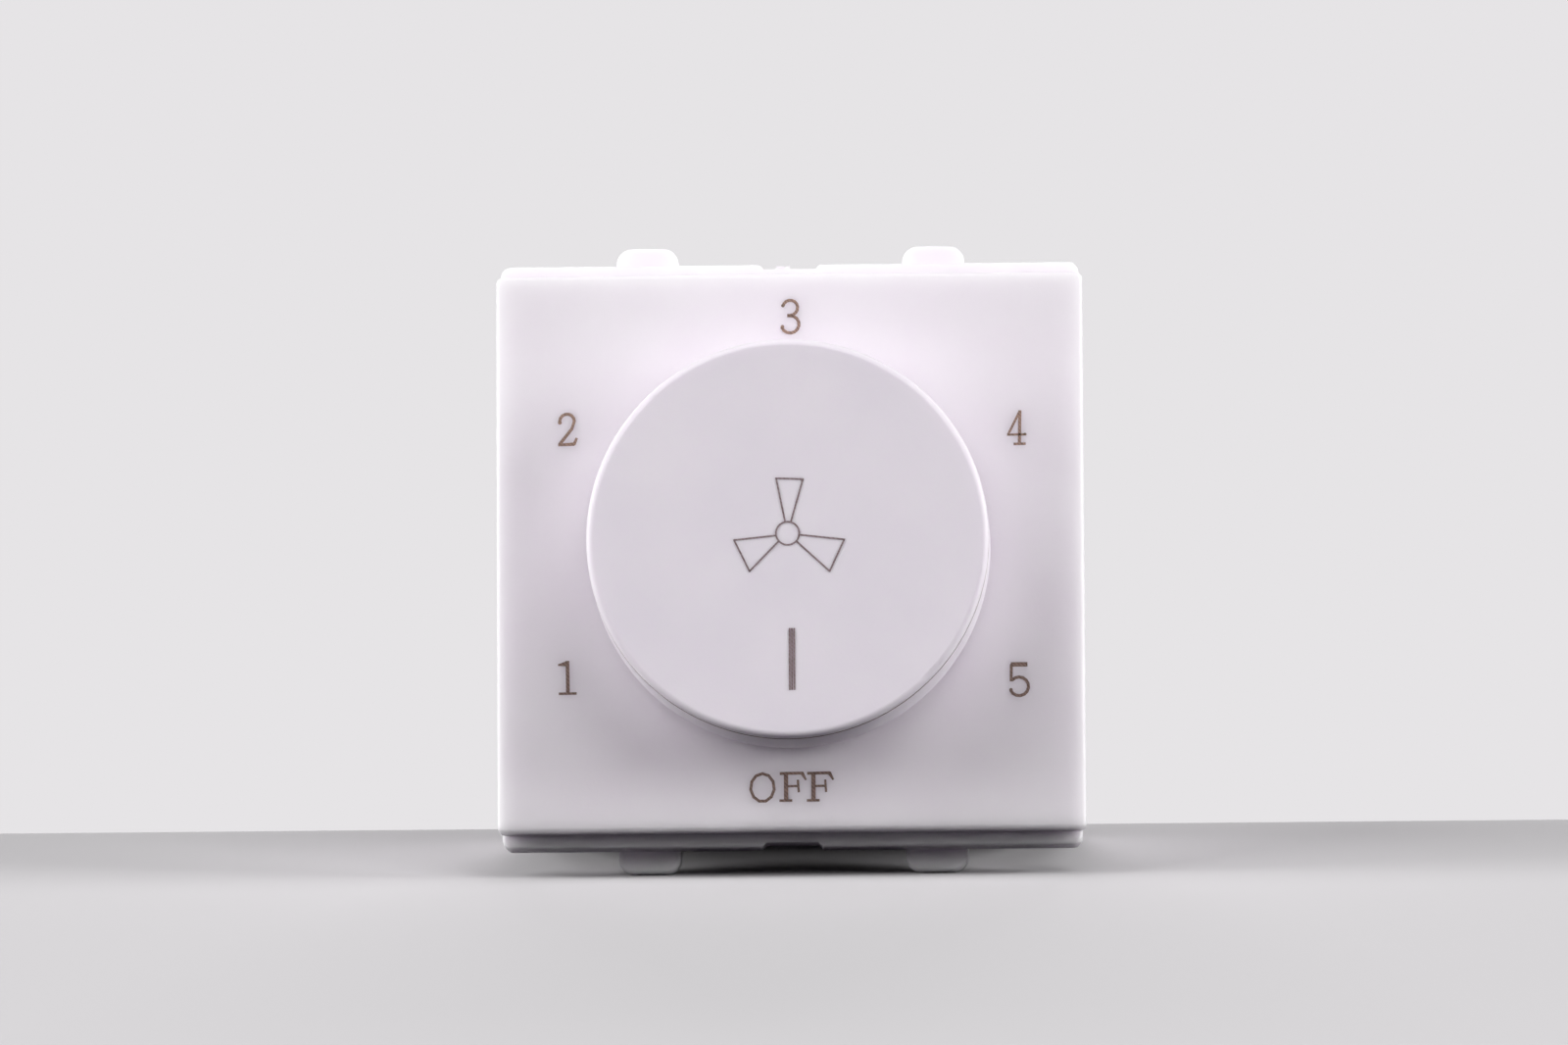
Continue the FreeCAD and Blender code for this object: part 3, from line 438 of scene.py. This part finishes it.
# Paper-phenolic circuit board: toffee brown with streaks of paper fibre
PAPER_PHENOLIC = Laminate(
    "streaked_paper_phenolic", light="#b07a3e", dark="#946231",
    roughness=0.5, roughness_spread=0.08, mottle_mm=0.5, grit_mm=0.12, grit_height_mm=0.003)
# Moulded polyester capacitor box: mustard, slightly glossy
CAPACITOR_CASE = Moulding(
    "moulded_capacitor_box", light="#c9a93a", dark="#bf9e32",
    roughness=0.35, roughness_spread=0.06, mottle_mm=3.0, grit_mm=0.2, grit_height_mm=0.003, ior=1.57)
# Lacquered resistors with their value bands
SERIES_LACQUER = BandedLacquer(
    "series_resistor_lacquer", light="#7fa6ad", dark="#6f969d",
    roughness=0.4, roughness_spread=0.06, mottle_mm=1.0, grit_mm=0.1, grit_height_mm=0.002)
DISCHARGE_LACQUER = BandedLacquer(
    "discharge_resistor_lacquer", light="#b9a283", dark="#a9906f",
    roughness=0.4, roughness_spread=0.06, mottle_mm=1.0, grit_mm=0.1, grit_height_mm=0.002,
    spacing_mm=13.0, half_length_mm=3.2, bands=("#1b1a1a", "#3f6b32", "#c9a23a"))
# Plastic torn at a moulding gate: rougher and whiter than the skin beside it
TORN_PLASTIC = Moulding(
    "torn_polycarbonate", light="#f2edf3", dark="#e4dde6",
    roughness=0.6, roughness_spread=0.1, mottle_mm=0.4, grit_mm=0.08, grit_height_mm=0.02, glow=0.3)


def dress(nodes: list[str], finish: Finish) -> None:
    """Gives CAD nodes a finish.

    Args:
        nodes: Names of the nodes.
        finish: What they are made of.
    """
    for name in nodes:
        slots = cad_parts[name].data.materials
        slots.clear()
        slots.append(finish.material())
        LOG.info("dressed %s in %s", name, finish.name)


def add_piece(name: str, mesh: bmesh.types.BMesh, finish: Finish, body: Body) -> None:
    """Makes a finished bmesh a piece that rides on a body.

    Args:
        name: Name of the piece.
        mesh: Its shape in metres, which is used up.
        finish: What it is made of.
        body: Body that carries it.
    """
    bmesh.ops.remove_doubles(mesh, verts=mesh.verts, dist=MERGE_MM * MM)
    bmesh.ops.recalc_face_normals(mesh, faces=mesh.faces)
    data = bpy.data.meshes.new(name)
    mesh.to_mesh(data)
    mesh.free()
    data.materials.append(finish.material())
    piece = bpy.data.objects.new(name, data)
    bpy.context.scene.collection.objects.link(piece)
    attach(piece, body.value)
    LOG.info("made %s with %d faces", name, len(data.polygons))


@cache
def surface_of(node: str) -> BVHTree:
    """Search tree of a CAD node's surface.

    Args:
        node: Name of the node.

    Returns:
        The tree, in metres.
    """
    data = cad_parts[node].data
    points = [vert.co for vert in data.vertices]
    return BVHTree.FromPolygons(points, [face.vertices for face in data.polygons])


class LaserPen:
    """A flat nib that draws strokes facing the front by extruding and spinning its edge.

    Lengths are in millimetres. A bend turns by about one facet at a step, points closer than the
    joining distance become one, and a finished mark stands proud of its surface and is sunk in it.
    """

    facet = math.radians(24)
    dot_sides = 12
    joining = 0.001
    proud = 0.02
    sunk = 0.03

    def __init__(self) -> None:
        """Starts an empty drawing."""
        self.mesh = bmesh.new()
        self.nib: bmesh.types.BMEdge | None = None
        self.at = Vector()
        self.heading = 0.0

    def ahead(self) -> Vector:
        """Direction that the nib moves in."""
        return Vector((math.cos(self.heading), 0, math.sin(self.heading)))

    def left(self) -> Vector:
        """Direction to the left of the nib's way."""
        return Vector((-math.sin(self.heading), 0, math.cos(self.heading)))

    def down(self, x: float, z: float, heading: float, width: float) -> "LaserPen":
        """Sets the nib down.

        Args:
            x: Place to the right of the mark's centre.
            z: Place above the mark's centre.
            heading: Way that the nib will move, in degrees from +X towards +Z.
            width: Width of the stroke.

        Returns:
            The pen, for the next move.
        """
        self.at = Vector((x, 0, z))
        self.heading = math.radians(heading)
        ends = [self.mesh.verts.new(self.at + self.left() * side * width / 2) for side in (-1, 1)]
        self.nib = self.mesh.edges.new(ends)
        return self

    def line(self, length: float, widen: float = 1.0) -> "LaserPen":
        """Draws straight ahead.

        Args:
            length: How far.
            widen: Stroke width at the end as a share of that at the start.

        Returns:
            The pen, for the next move.
        """
        step = self.ahead() * length
        grown = bmesh.ops.extrude_edge_only(self.mesh, edges=[self.nib])["geom"]
        ends = [item for item in grown if isinstance(item, bmesh.types.BMVert)]
        self.at += step
        bmesh.ops.translate(self.mesh, vec=step, verts=ends)
        bmesh.ops.scale(self.mesh, vec=Vector((widen, 1, widen)), space=Matrix.Translation(-self.at),
                        verts=ends)
        self.nib = self.mesh.edges.get(ends)
        return self

    def arc(self, radius: float, sweep: float) -> "LaserPen":
        """Draws a bend of short facets.

        Args:
            radius: Radius of the stroke's middle.
            sweep: Angle of the bend in degrees, left turns positive.

        Returns:
            The pen, for the next move.
        """
        turn = math.copysign(1.0, sweep)
        angle = math.radians(abs(sweep))
        centre = self.at + self.left() * radius * turn
        axis = Vector((0, -turn, 0))
        swept = bmesh.ops.spin(self.mesh, geom=[self.nib], cent=centre, axis=axis, angle=angle,
                               steps=max(1, round(angle / self.facet)))["geom_last"]
        self.nib = next(item for item in swept if isinstance(item, bmesh.types.BMEdge))
        self.at = centre + Quaternion(axis, angle) @ (self.at - centre)
        self.heading += math.radians(sweep)
        return self

    def bar(self, start: tuple[float, float], end: tuple[float, float], width: float,
            widen: float = 1.0) -> "LaserPen":
        """Draws one straight stroke between two points.

        Args:
            start: Where it begins, as x and z.
            end: Where it ends.
            width: Width at the start.
            widen: Width at the end as a share of that at the start.

        Returns:
            The pen, for the next move.
        """
        run = Vector(end) - Vector(start)
        self.down(*start, math.degrees(math.atan2(run.y, run.x)), width)
        return self.line(run.length, widen)

    def dot(self, x: float, z: float, radius: float) -> "LaserPen":
        """Burns a round spot.

        Args:
            x: Place to the right of the mark's centre.
            z: Place above the mark's centre.
            radius: Radius of the spot.

        Returns:
            The pen, for the next move.
        """
        place = Matrix.Translation((x, 0, z)) @ Matrix.Rotation(math.pi / 2, 4, "X")
        bmesh.ops.create_circle(self.mesh, cap_ends=True, segments=self.dot_sides, radius=radius,
                                matrix=place)
        return self

    def ring(self, x: float, z: float, half_width: float, half_height: float, stroke: float,
             sides: int) -> "LaserPen":
        """Draws a closed oval of straight sides.

        Args:
            x: Place of its centre to the right.
            z: Place of its centre above.
            half_width: Half its width outside.
            half_height: Half its height outside.
            stroke: Width of the stroke.
            sides: Number of straight sides.

        Returns:
            The pen, for the next move.
        """
        place = (Matrix.Translation((x, 0, z)) @ Matrix.Diagonal((half_width, 1, half_height, 1))
                 @ Matrix.Rotation(math.pi / 2, 4, "X"))
        before = set(self.mesh.faces)
        bmesh.ops.create_circle(self.mesh, cap_ends=True, segments=sides, radius=1.0, matrix=place)
        disc = [face for face in self.mesh.faces if face not in before]
        bmesh.ops.inset_region(self.mesh, faces=disc, thickness=stroke, use_boundary=True,
                               use_even_offset=True)
        bmesh.ops.delete(self.mesh, geom=disc, context="FACES")
        return self

    def onto(self, surface: BVHTree, x: float, z: float) -> bmesh.types.BMesh:
        """Lays the drawing on a surface that faces the front and gives it thickness.

        Args:
            surface: The surface, in metres.
            x: Place of the mark's centre to the right.
            z: Place of the mark's centre above.

        Returns:
            The mark in metres.
        """
        bmesh.ops.remove_doubles(self.mesh, verts=self.mesh.verts, dist=self.joining)
        grown = bmesh.ops.extrude_face_region(
            self.mesh, geom=self.mesh.faces[:], use_keep_orig=True)["geom"]
        rear = {item for item in grown if isinstance(item, bmesh.types.BMVert)}
        clear = Vector((0, CAD_BOX[0].y * 2, 0))
        for vert in self.mesh.verts:
            spot = Vector((vert.co.x + x, 0, vert.co.z + z)) * MM
            hit = surface.ray_cast(spot + clear, Vector((0, 1, 0)))[0]
            vert.co = hit + Vector((0, self.sunk if vert in rear else -self.proud, 0)) * MM
        return self.mesh


@dataclass
class Casing:
    """White shell: front plate, housing and rear cover, with the plate's laser marks."""

    stroke: float = 0.24
    round_letter_sides: int = 11
    stem_places: tuple[float, float] = (-0.415, 1.675)
    stub_x: float = -0.56
    stub_y: float = -1.1
    stub_size: tuple[float, float, float] = (1.3, 0.9, 0.40)
    stub_sunk: float = 0.06
    stub_taper: float = 0.72
    stub_cuts: int = 7
    tear: float = 0.16
    tear_grain: float = 3.0
    tear_seed: int = 16

    def build(self) -> None:
        """Dresses the shell, marks the plate and leaves the stub of the gate."""
        dress(["front_plate"], PLATE_POLYCARBONATE)
        dress(["housing", "rear_cover"], WHITE_POLYCARBONATE)
        self.mark("numeral_1", self.one(), x=-17.19, z=-9.79, scorch=LASER_BROWN)
        self.mark("numeral_2", self.two(), x=-17.12, z=9.69, scorch=LASER_TAN)
        self.mark("numeral_3", self.three(), x=0.07, z=18.41, scorch=LASER_TAN)
        self.mark("numeral_4", self.four(), x=17.45, z=9.31, scorch=LASER_TAN)
        self.mark("numeral_5", self.five(), x=17.35, z=-10.14, scorch=LASER_BROWN)
        self.mark("off_word", self.off(), x=0.01, z=-18.54, scorch=LASER_BROWN)
        self.gate_stub()

    def gate_stub(self) -> None:
        """Leaves the torn stub of the moulding gate in the flange's upper notch."""
        mesh = bmesh.new()
        bmesh.ops.create_cube(mesh, size=1.0, matrix=Matrix.Translation((0, 0, 0.5)))
        top = [vert for vert in mesh.verts if vert.co.z > 0.5]
        bmesh.ops.scale(mesh, vec=Vector((self.stub_taper, self.stub_taper, 1)), verts=top)
        bmesh.ops.subdivide_edges(mesh, edges=mesh.edges, cuts=self.stub_cuts, use_grid_fill=True)
        noise.seed_set(self.tear_seed)
        for vert in mesh.verts:
            vert.co += noise.noise_vector(vert.co * self.tear_grain) * self.tear * vert.co.z
        above = Vector((self.stub_x * MM, self.stub_y * MM, CAD_BOX[1].z))
        foot = surface_of("housing").ray_cast(above, Vector((0, 0, -1)))[0]
        rooted = Matrix.Translation(foot - Vector((0, 0, self.stub_sunk * MM)))
        sized = Matrix.Diagonal((*(Vector(self.stub_size) * MM), 1))
        bmesh.ops.transform(mesh, matrix=rooted @ sized, verts=mesh.verts)
        add_piece("gate_stub", mesh, TORN_PLASTIC, Body.BASE)

    def mark(self, name: str, pen: LaserPen, x: float, z: float, scorch: LaserScorch) -> None:
        """Burns a drawing into the plate, at a place to the right of and above the knob axis."""
        add_piece(name, pen.onto(surface_of("front_plate"), x, z), scorch, Body.BASE)

    def one(self) -> LaserPen:
        """Draws a stem with a wedge flag and a foot.

        Returns:
            The drawing.
        """
        pen = LaserPen().bar((-0.62, 1.15), (0.06, 1.24), 0.12, 3.4)
        pen.bar((0.10, 1.46), (0.13, -0.92), 0.28).line(0.14, 1.6)
        return pen.bar((-0.57, -1.06), (0.80, -1.05), 0.19)

    def two(self) -> LaserPen:
        """Draws a hook, a slanting neck and a foot that turns up.

        Returns:
            The drawing.
        """
        pen = LaserPen().dot(-0.49, 0.42, 0.15)
        pen.down(-0.50, 0.42, 90, self.stroke).line(0.10).arc(0.56, -180).arc(1.1, -36)
        pen.bar((0.44, -0.06), (-0.54, -1.30), self.stroke)
        pen.bar((-0.62, -1.31), (0.62, -1.26), 0.2, 1.3)
        return pen.bar((0.58, -1.32), (0.81, -0.78), 0.24, 0.8)

    def three(self) -> LaserPen:
        """Draws two open bowls that meet in a short tail.

        Returns:
            The drawing.
        """
        pen = LaserPen().dot(-0.53, 0.60, 0.13)
        pen.down(-0.53, 0.55, 80, self.stroke).arc(0.57, -165).arc(0.62, -95).line(0.18)
        pen.down(-0.18, -0.18, 0, self.stroke).line(0.20).arc(0.68, -250)
        return pen.dot(-0.57, -1.04, 0.14)

    def four(self) -> LaserPen:
        """Draws a thin slope and a crossbar on a stem with a foot.

        Returns:
            The drawing.
        """
        pen = LaserPen().bar((0.21, 1.38), (-0.70, -0.46), 0.18)
        pen.bar((0.21, 1.42), (0.16, -1.05), self.stroke).line(0.1, 1.5)
        pen.bar((-0.78, -0.47), (0.70, -0.45), 0.17).dot(0.58, -0.42, 0.1)
        return pen.bar((-0.28, -1.19), (0.64, -1.17), 0.19)

    def five(self) -> LaserPen:
        """Draws a heavy top bar, a stem and an open bowl.

        Returns:
            The drawing.
        """
        pen = LaserPen().bar((-0.52, 1.22), (0.75, 1.23), 0.34)
        pen.bar((-0.48, 1.25), (-0.50, -0.08), 0.22)
        pen.down(-0.45, 0.0, 50, self.stroke).arc(0.72, -296)
        return pen.dot(-0.52, -0.72, 0.13)

    def off(self) -> LaserPen:
        """Draws the word OFF: a many-sided O and two serifed letters.

        Returns:
            The drawing.
        """
        pen = LaserPen().ring(-2.22, 0.30, 1.02, 1.19, 0.22, self.round_letter_sides)
        for x in self.stem_places:
            pen.bar((x, 1.45), (x, -0.66), 0.33)
            pen.bar((x - 0.47, 1.37), (x + 1.29, 1.39), 0.22)
            pen.bar((x + 1.21, 1.42), (x + 1.53, 0.86), 0.28, 0.5)
            pen.bar((x, 0.39), (x + 0.92, 0.40), 0.17)
            pen.bar((x + 0.90, 0.88), (x + 0.97, -0.08), 0.17)
            pen.bar((x - 0.51, -0.71), (x + 0.47, -0.70), 0.19)
        return pen


@dataclass(frozen=True)
class FanBlade:
    """Outline of one blade of the fan sign, with its angle in degrees."""

    angle: float
    reach: float
    tip: float
    root: float


@dataclass
class StepKnob:
    """Round knob with a pointer and a plain fan sign, and the spring band on its hub."""

    line: float = 0.13
    hub_radius: float = 0.89
    hub_sides: int = 40
    sign_x: float = 0.02
    sign_z: float = 0.33
    blades: tuple[FanBlade, ...] = (
        FanBlade(angle=87.7, reach=4.20, tip=2.04, root=0.44),
        FanBlade(angle=205.8, reach=3.88, tip=2.67, root=0.50),
        FanBlade(angle=-24.7, reach=4.13, tip=2.68, root=0.56),
    )
    pointer_x: float = 0.31
    pointer_near: float = 6.95
    pointer_far: float = 11.70
    pointer_lines: int = 3
    pointer_width: float = 0.54
    pointer_gap: float = 0.05

    def build(self) -> None:
        """Dresses the knob and its band, and marks its face."""
        dress(["knob"], KNOB_POLYCARBONATE)
        dress(["knob_clip"], ZINC_PLATE)
        face = surface_of("knob")
        sign = self.fan_sign().onto(face, self.sign_x, self.sign_z)
        add_piece("fan_sign", sign, LASER_GREY, Body.DIAL)
        pointer = self.pointer().onto(face, self.pointer_x, 0.0)
        add_piece("pointer_line", pointer, LASER_GREY, Body.DIAL)

    def fan_sign(self) -> LaserPen:
        """Draws a hub with three blades in outline.

        Returns:
            The drawing.
        """
        outer = self.hub_radius + self.line / 2
        pen = LaserPen().ring(0, 0, outer, outer, self.line, self.hub_sides)
        for blade in self.blades:
            out = Vector((math.cos(math.radians(blade.angle)), math.sin(math.radians(blade.angle))))
            side = Vector((-out.y, out.x))
            tips = [out * blade.reach + side * blade.tip / 2 * end for end in (-1, 1)]
            roots = [out * self.hub_radius + side * blade.root / 2 * end for end in (-1, 1)]
            pen.bar(roots[0][:], tips[0][:], self.line).bar(roots[1][:], tips[1][:], self.line)
            overrun = side * self.line / 2
            pen.bar((tips[0] - overrun)[:], (tips[1] + overrun)[:], self.line)
        return pen

    def pointer(self) -> LaserPen:
        """Draws close parallel lines from below the fan sign towards the rim.

        Returns:
            The drawing.
        """
        pen = LaserPen()
        pitch = self.pointer_width / self.pointer_lines
        for index in range(self.pointer_lines):
            x = pitch * (index + 0.5) - self.pointer_width / 2
            pen.bar((x, -self.pointer_near), (x, -self.pointer_far), pitch - self.pointer_gap)
        return pen


@dataclass
class RotarySwitch:
    """Step switch behind the knob: bush, rotor, detent leaf and contacts."""

    def build(self) -> None:
        """Dresses the switch's own pieces."""
        dress(["switch_cover", "switch_case"], BLACK_PHENOLIC)
        dress(["rotor_shaft"], NATURAL_NYLON)
        dress(["bush_nut", "lock_washer", "switch_screws"], ZINC_PLATE)
        dress(["detent_spring"], SPRING_STEEL)
        dress(["wiper_contact"], PHOSPHOR_BRONZE)
        dress(["fixed_contacts", "common_contact"], SILVER_PLATE)


@dataclass
class Electronics:
    """Circuit board with its capacitors, resistors, terminals and screws."""

    def build(self) -> None:
        """Dresses the board and what it carries."""
        dress(["board"], PAPER_PHENOLIC)
        dress(["capacitor_large", "capacitor_medium", "capacitor_small"], CAPACITOR_CASE)
        dress(["series_resistors"], SERIES_LACQUER)
        dress(["discharge_resistors"], DISCHARGE_LACQUER)
        dress(["board_screws", "line_screw", "load_screw"], ZINC_PLATE)
        dress(["line_terminal", "load_terminal"], BRASS)


def outward(azimuth: float, elevation: float) -> Vector:
    """Direction from the object to something that stands round it.

    Args:
        azimuth: Degrees from the front towards the right.
        elevation: Degrees upwards.

    Returns:
        The direction, of length 1.
    """
    turn = math.radians(azimuth)
    lift = math.radians(elevation)
    return Vector((math.sin(turn) * math.cos(lift), -math.cos(turn) * math.cos(lift), math.sin(lift)))


@dataclass(frozen=True)
class SoftBox:
    """Square studio lamp that faces the object, with its place in degrees and metres."""

    name: str
    azimuth: float
    elevation: float
    power: float
    distance: float = 1.8
    side: float = 0.8

    def light(self, target: Vector) -> None:
        """Hangs the lamp.

        Args:
            target: Point that it faces.
        """
        lamp = bpy.data.lights.new(self.name, "AREA")
        lamp.shape = "SQUARE"
        lamp.size = self.side
        lamp.energy = self.power
        out = outward(self.azimuth, self.elevation)
        hung = bpy.data.objects.new(self.name, lamp)
        hung.location = target + out * self.distance
        hung.rotation_euler = (-out).to_track_quat("-Z", "Y").to_euler()
        bpy.context.scene.collection.objects.link(hung)


@dataclass
class Studio:
    """Pale floor, soft lamps, pale surroundings and the camera of the photograph.

    Angles are in degrees, and lengths in metres where their names don't say millimetres.
    """

    azimuth: float = 1.7
    elevation: float = -8.3
    roll: float = -0.30
    distance: float = 1.3
    pixels_per_mm: float = 13.334
    sensor_mm: float = 36.0
    aim_right_mm: float = -0.46
    aim_up_mm: float = 2.14
    lug_land_mm: float = 0.8
    cover_chamfer_mm: float = 0.5
    floor_front: float = -2.0
    floor_crest: float = 0.045
    floor_back: float = 2.0
    floor_half_width: float = 3.0
    floor_bend: float = 0.01
    floor_bend_steps: int = 8
    shadow_reach: float = 0.12
    even_reach: float = 0.45
    backdrop: str = "#e6e4e6"
    floor_pale: str = "#cbc9cb"
    floor_shade: str = "#302d32"
    ambient: str = "#ffffff"
    ambient_strength: float = 0.02
    lamps: tuple[SoftBox, ...] = (
        SoftBox("left_side", azimuth=-75, elevation=15, power=32.5),
        SoftBox("right_side", azimuth=72, elevation=15, power=33.0),
        SoftBox("left_front", azimuth=-45, elevation=35, power=9.4),
        SoftBox("right_front", azimuth=25, elevation=35, power=8.6),
        SoftBox("rear", azimuth=180, elevation=25, power=17.0),
    )

    def build(self) -> None:
        """Sets up the studio."""
        bpy.context.scene.view_settings.view_transform = "Standard"
        self.floor()
        self.surroundings()
        target = (CAD_BOX[0] + CAD_BOX[1]) / 2
        for lamp in self.lamps:
            lamp.light(target)
        self.camera()

    def floor_profile(self) -> list[tuple[float, float]]:
        """Finds a slope that the snap lugs and the rear cover's lower edge stand on, level behind them.

        Returns:
            Points of the floor from front to back, as y and z.
        """
        lug_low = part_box("housing")[0].z
        cover_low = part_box("rear_cover")[0].z
        lug_y = self.lug_land_mm * MM
        cover_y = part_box("rear_cover")[1].y - self.cover_chamfer_mm * MM
        slope = (cover_low - lug_low) / (cover_y - lug_y)
        front = lug_low + (self.floor_front - lug_y) * slope
        crest = lug_low + (self.floor_crest - lug_y) * slope
        return [(self.floor_front, front), (self.floor_crest, crest), (self.floor_back, crest)]

    def floor(self) -> None:
        """Lays the floor, with a soft bend where it becomes level."""
        mesh = bmesh.new()
        verts = [mesh.verts.new((-self.floor_half_width, y, z)) for y, z in self.floor_profile()]
        edges = [mesh.edges.new(pair) for pair in zip(verts, verts[1:])]
        grown = bmesh.ops.extrude_edge_only(mesh, edges=edges)["geom"]
        far = [item for item in grown if isinstance(item, bmesh.types.BMVert)]
        bmesh.ops.translate(mesh, vec=(2 * self.floor_half_width, 0, 0), verts=far)
        bend = [edge for edge in mesh.edges
                if all(abs(vert.co.y - self.floor_crest) < MM for vert in edge.verts)]
        bmesh.ops.bevel(mesh, geom=bend, offset=self.floor_bend, segments=self.floor_bend_steps,
                        profile=0.5, affect="EDGES", material=-1)
        bmesh.ops.recalc_face_normals(mesh, faces=mesh.faces)
        data = bpy.data.meshes.new("floor")
        mesh.to_mesh(data)
        mesh.free()
        data.materials.append(self.floor_paper())
        laid = bpy.data.objects.new("floor", data)
        bpy.context.scene.collection.objects.link(laid)

    def seen(self, tree: bpy.types.NodeTree) -> bpy.types.NodeSocket:
        """Tells rays that show the surroundings from rays that only carry light.

        Args:
            tree: Node tree of a material or of the world.

        Returns:
            Socket that is 1 for camera, glossy and transmission rays.
        """
        path = add_node(tree, "ShaderNodeLightPath").outputs
        mirrored = add_node(tree, "ShaderNodeMath", {
            0: path["Is Glossy Ray"], 1: path["Is Transmission Ray"]}, operation="MAXIMUM")
        shown = add_node(tree, "ShaderNodeMath", {
            0: path["Is Camera Ray"], 1: mirrored.outputs["Value"]}, operation="MAXIMUM")
        return shown.outputs["Value"]

    def floor_paper(self) -> bpy.types.Material:
        """Makes pale paper: shadowed near the object, even farther off, and throwing little light up.

        Returns:
            The material.
        """
        made = bpy.data.materials.new("studio_paper")
        made.use_nodes = True
        tree = made.node_tree
        tree.nodes.remove(tree.nodes["Principled BSDF"])
        shade = add_node(tree, "ShaderNodeBsdfDiffuse", {"Color": linear(self.floor_shade)})
        pale = add_node(tree, "ShaderNodeBsdfDiffuse", {"Color": linear(self.floor_pale)})
        even = add_node(tree, "ShaderNodeEmission", {"Color": linear(self.backdrop), "Strength": 1.0})
        place = add_node(tree, "ShaderNodeTexCoord").outputs["Object"]
        away = add_node(tree, "ShaderNodeVectorMath", {0: place}, operation="LENGTH").outputs["Value"]
        fade = add_node(tree, "ShaderNodeMapRange", {
            "Value": away, "From Min": self.shadow_reach, "From Max": self.even_reach},
            interpolation_type="SMOOTHSTEP")
        shown = add_node(tree, "ShaderNodeMixShader", {
            "Fac": fade.outputs["Result"], 1: pale.outputs["BSDF"], 2: even.outputs["Emission"]})
        mixed = add_node(tree, "ShaderNodeMixShader", {
            "Fac": self.seen(tree), 1: shade.outputs["BSDF"], 2: shown.outputs["Shader"]})
        tree.links.new(mixed.outputs["Shader"], tree.nodes["Material Output"].inputs["Surface"])
        return made

    def surroundings(self) -> None:
        """Makes the world a dim even light with a pale look."""
        world = bpy.data.worlds.new("studio")
        bpy.context.scene.world = world
        world.use_nodes = True
        tree = world.node_tree
        dim = tree.nodes["Background"]
        dim.inputs["Color"].default_value = linear(self.ambient)
        dim.inputs["Strength"].default_value = self.ambient_strength
        pale = add_node(tree, "ShaderNodeBackground", {"Color": linear(self.backdrop), "Strength": 1.0})
        mixed = add_node(tree, "ShaderNodeMixShader", {
            "Fac": self.seen(tree), 1: dim.outputs["Background"], 2: pale.outputs["Background"]})
        tree.links.new(mixed.outputs["Shader"], tree.nodes["World Output"].inputs["Surface"])

    def camera(self) -> None:
        """Sets the long lens where the photograph was taken from."""
        plate_low, plate_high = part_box("front_plate")
        centre = (plate_low + plate_high) / 2
        centre.y = plate_low.y
        back = outward(self.azimuth, self.elevation)
        facing = (-back).to_track_quat("-Z", "Y") @ Quaternion((0, 0, 1), math.radians(self.roll))
        aim = centre + facing @ Vector((self.aim_right_mm, self.aim_up_mm, 0)) * MM
        lens = bpy.data.cameras.new("camera")
        lens.sensor_width = self.sensor_mm
        lens.lens = self.pixels_per_mm / MM * self.distance * self.sensor_mm / IMAGE_WIDTH
        stand = bpy.data.objects.new("camera", lens)
        stand.rotation_mode = "QUATERNION"
        stand.rotation_quaternion = facing
        stand.location = aim + back * self.distance
        bpy.context.scene.collection.objects.link(stand)
        bpy.context.scene.camera = stand


def main() -> None:
    """Builds every sub-assembly in order, then the studio."""
    logging.basicConfig(level=logging.INFO, format="%(message)s")
    for assembly in (Casing(), StepKnob(), RotarySwitch(), Electronics(), Studio()):
        assembly.build()
        LOG.info("built %s", type(assembly).__name__)


if __name__ == "__main__":
    main()
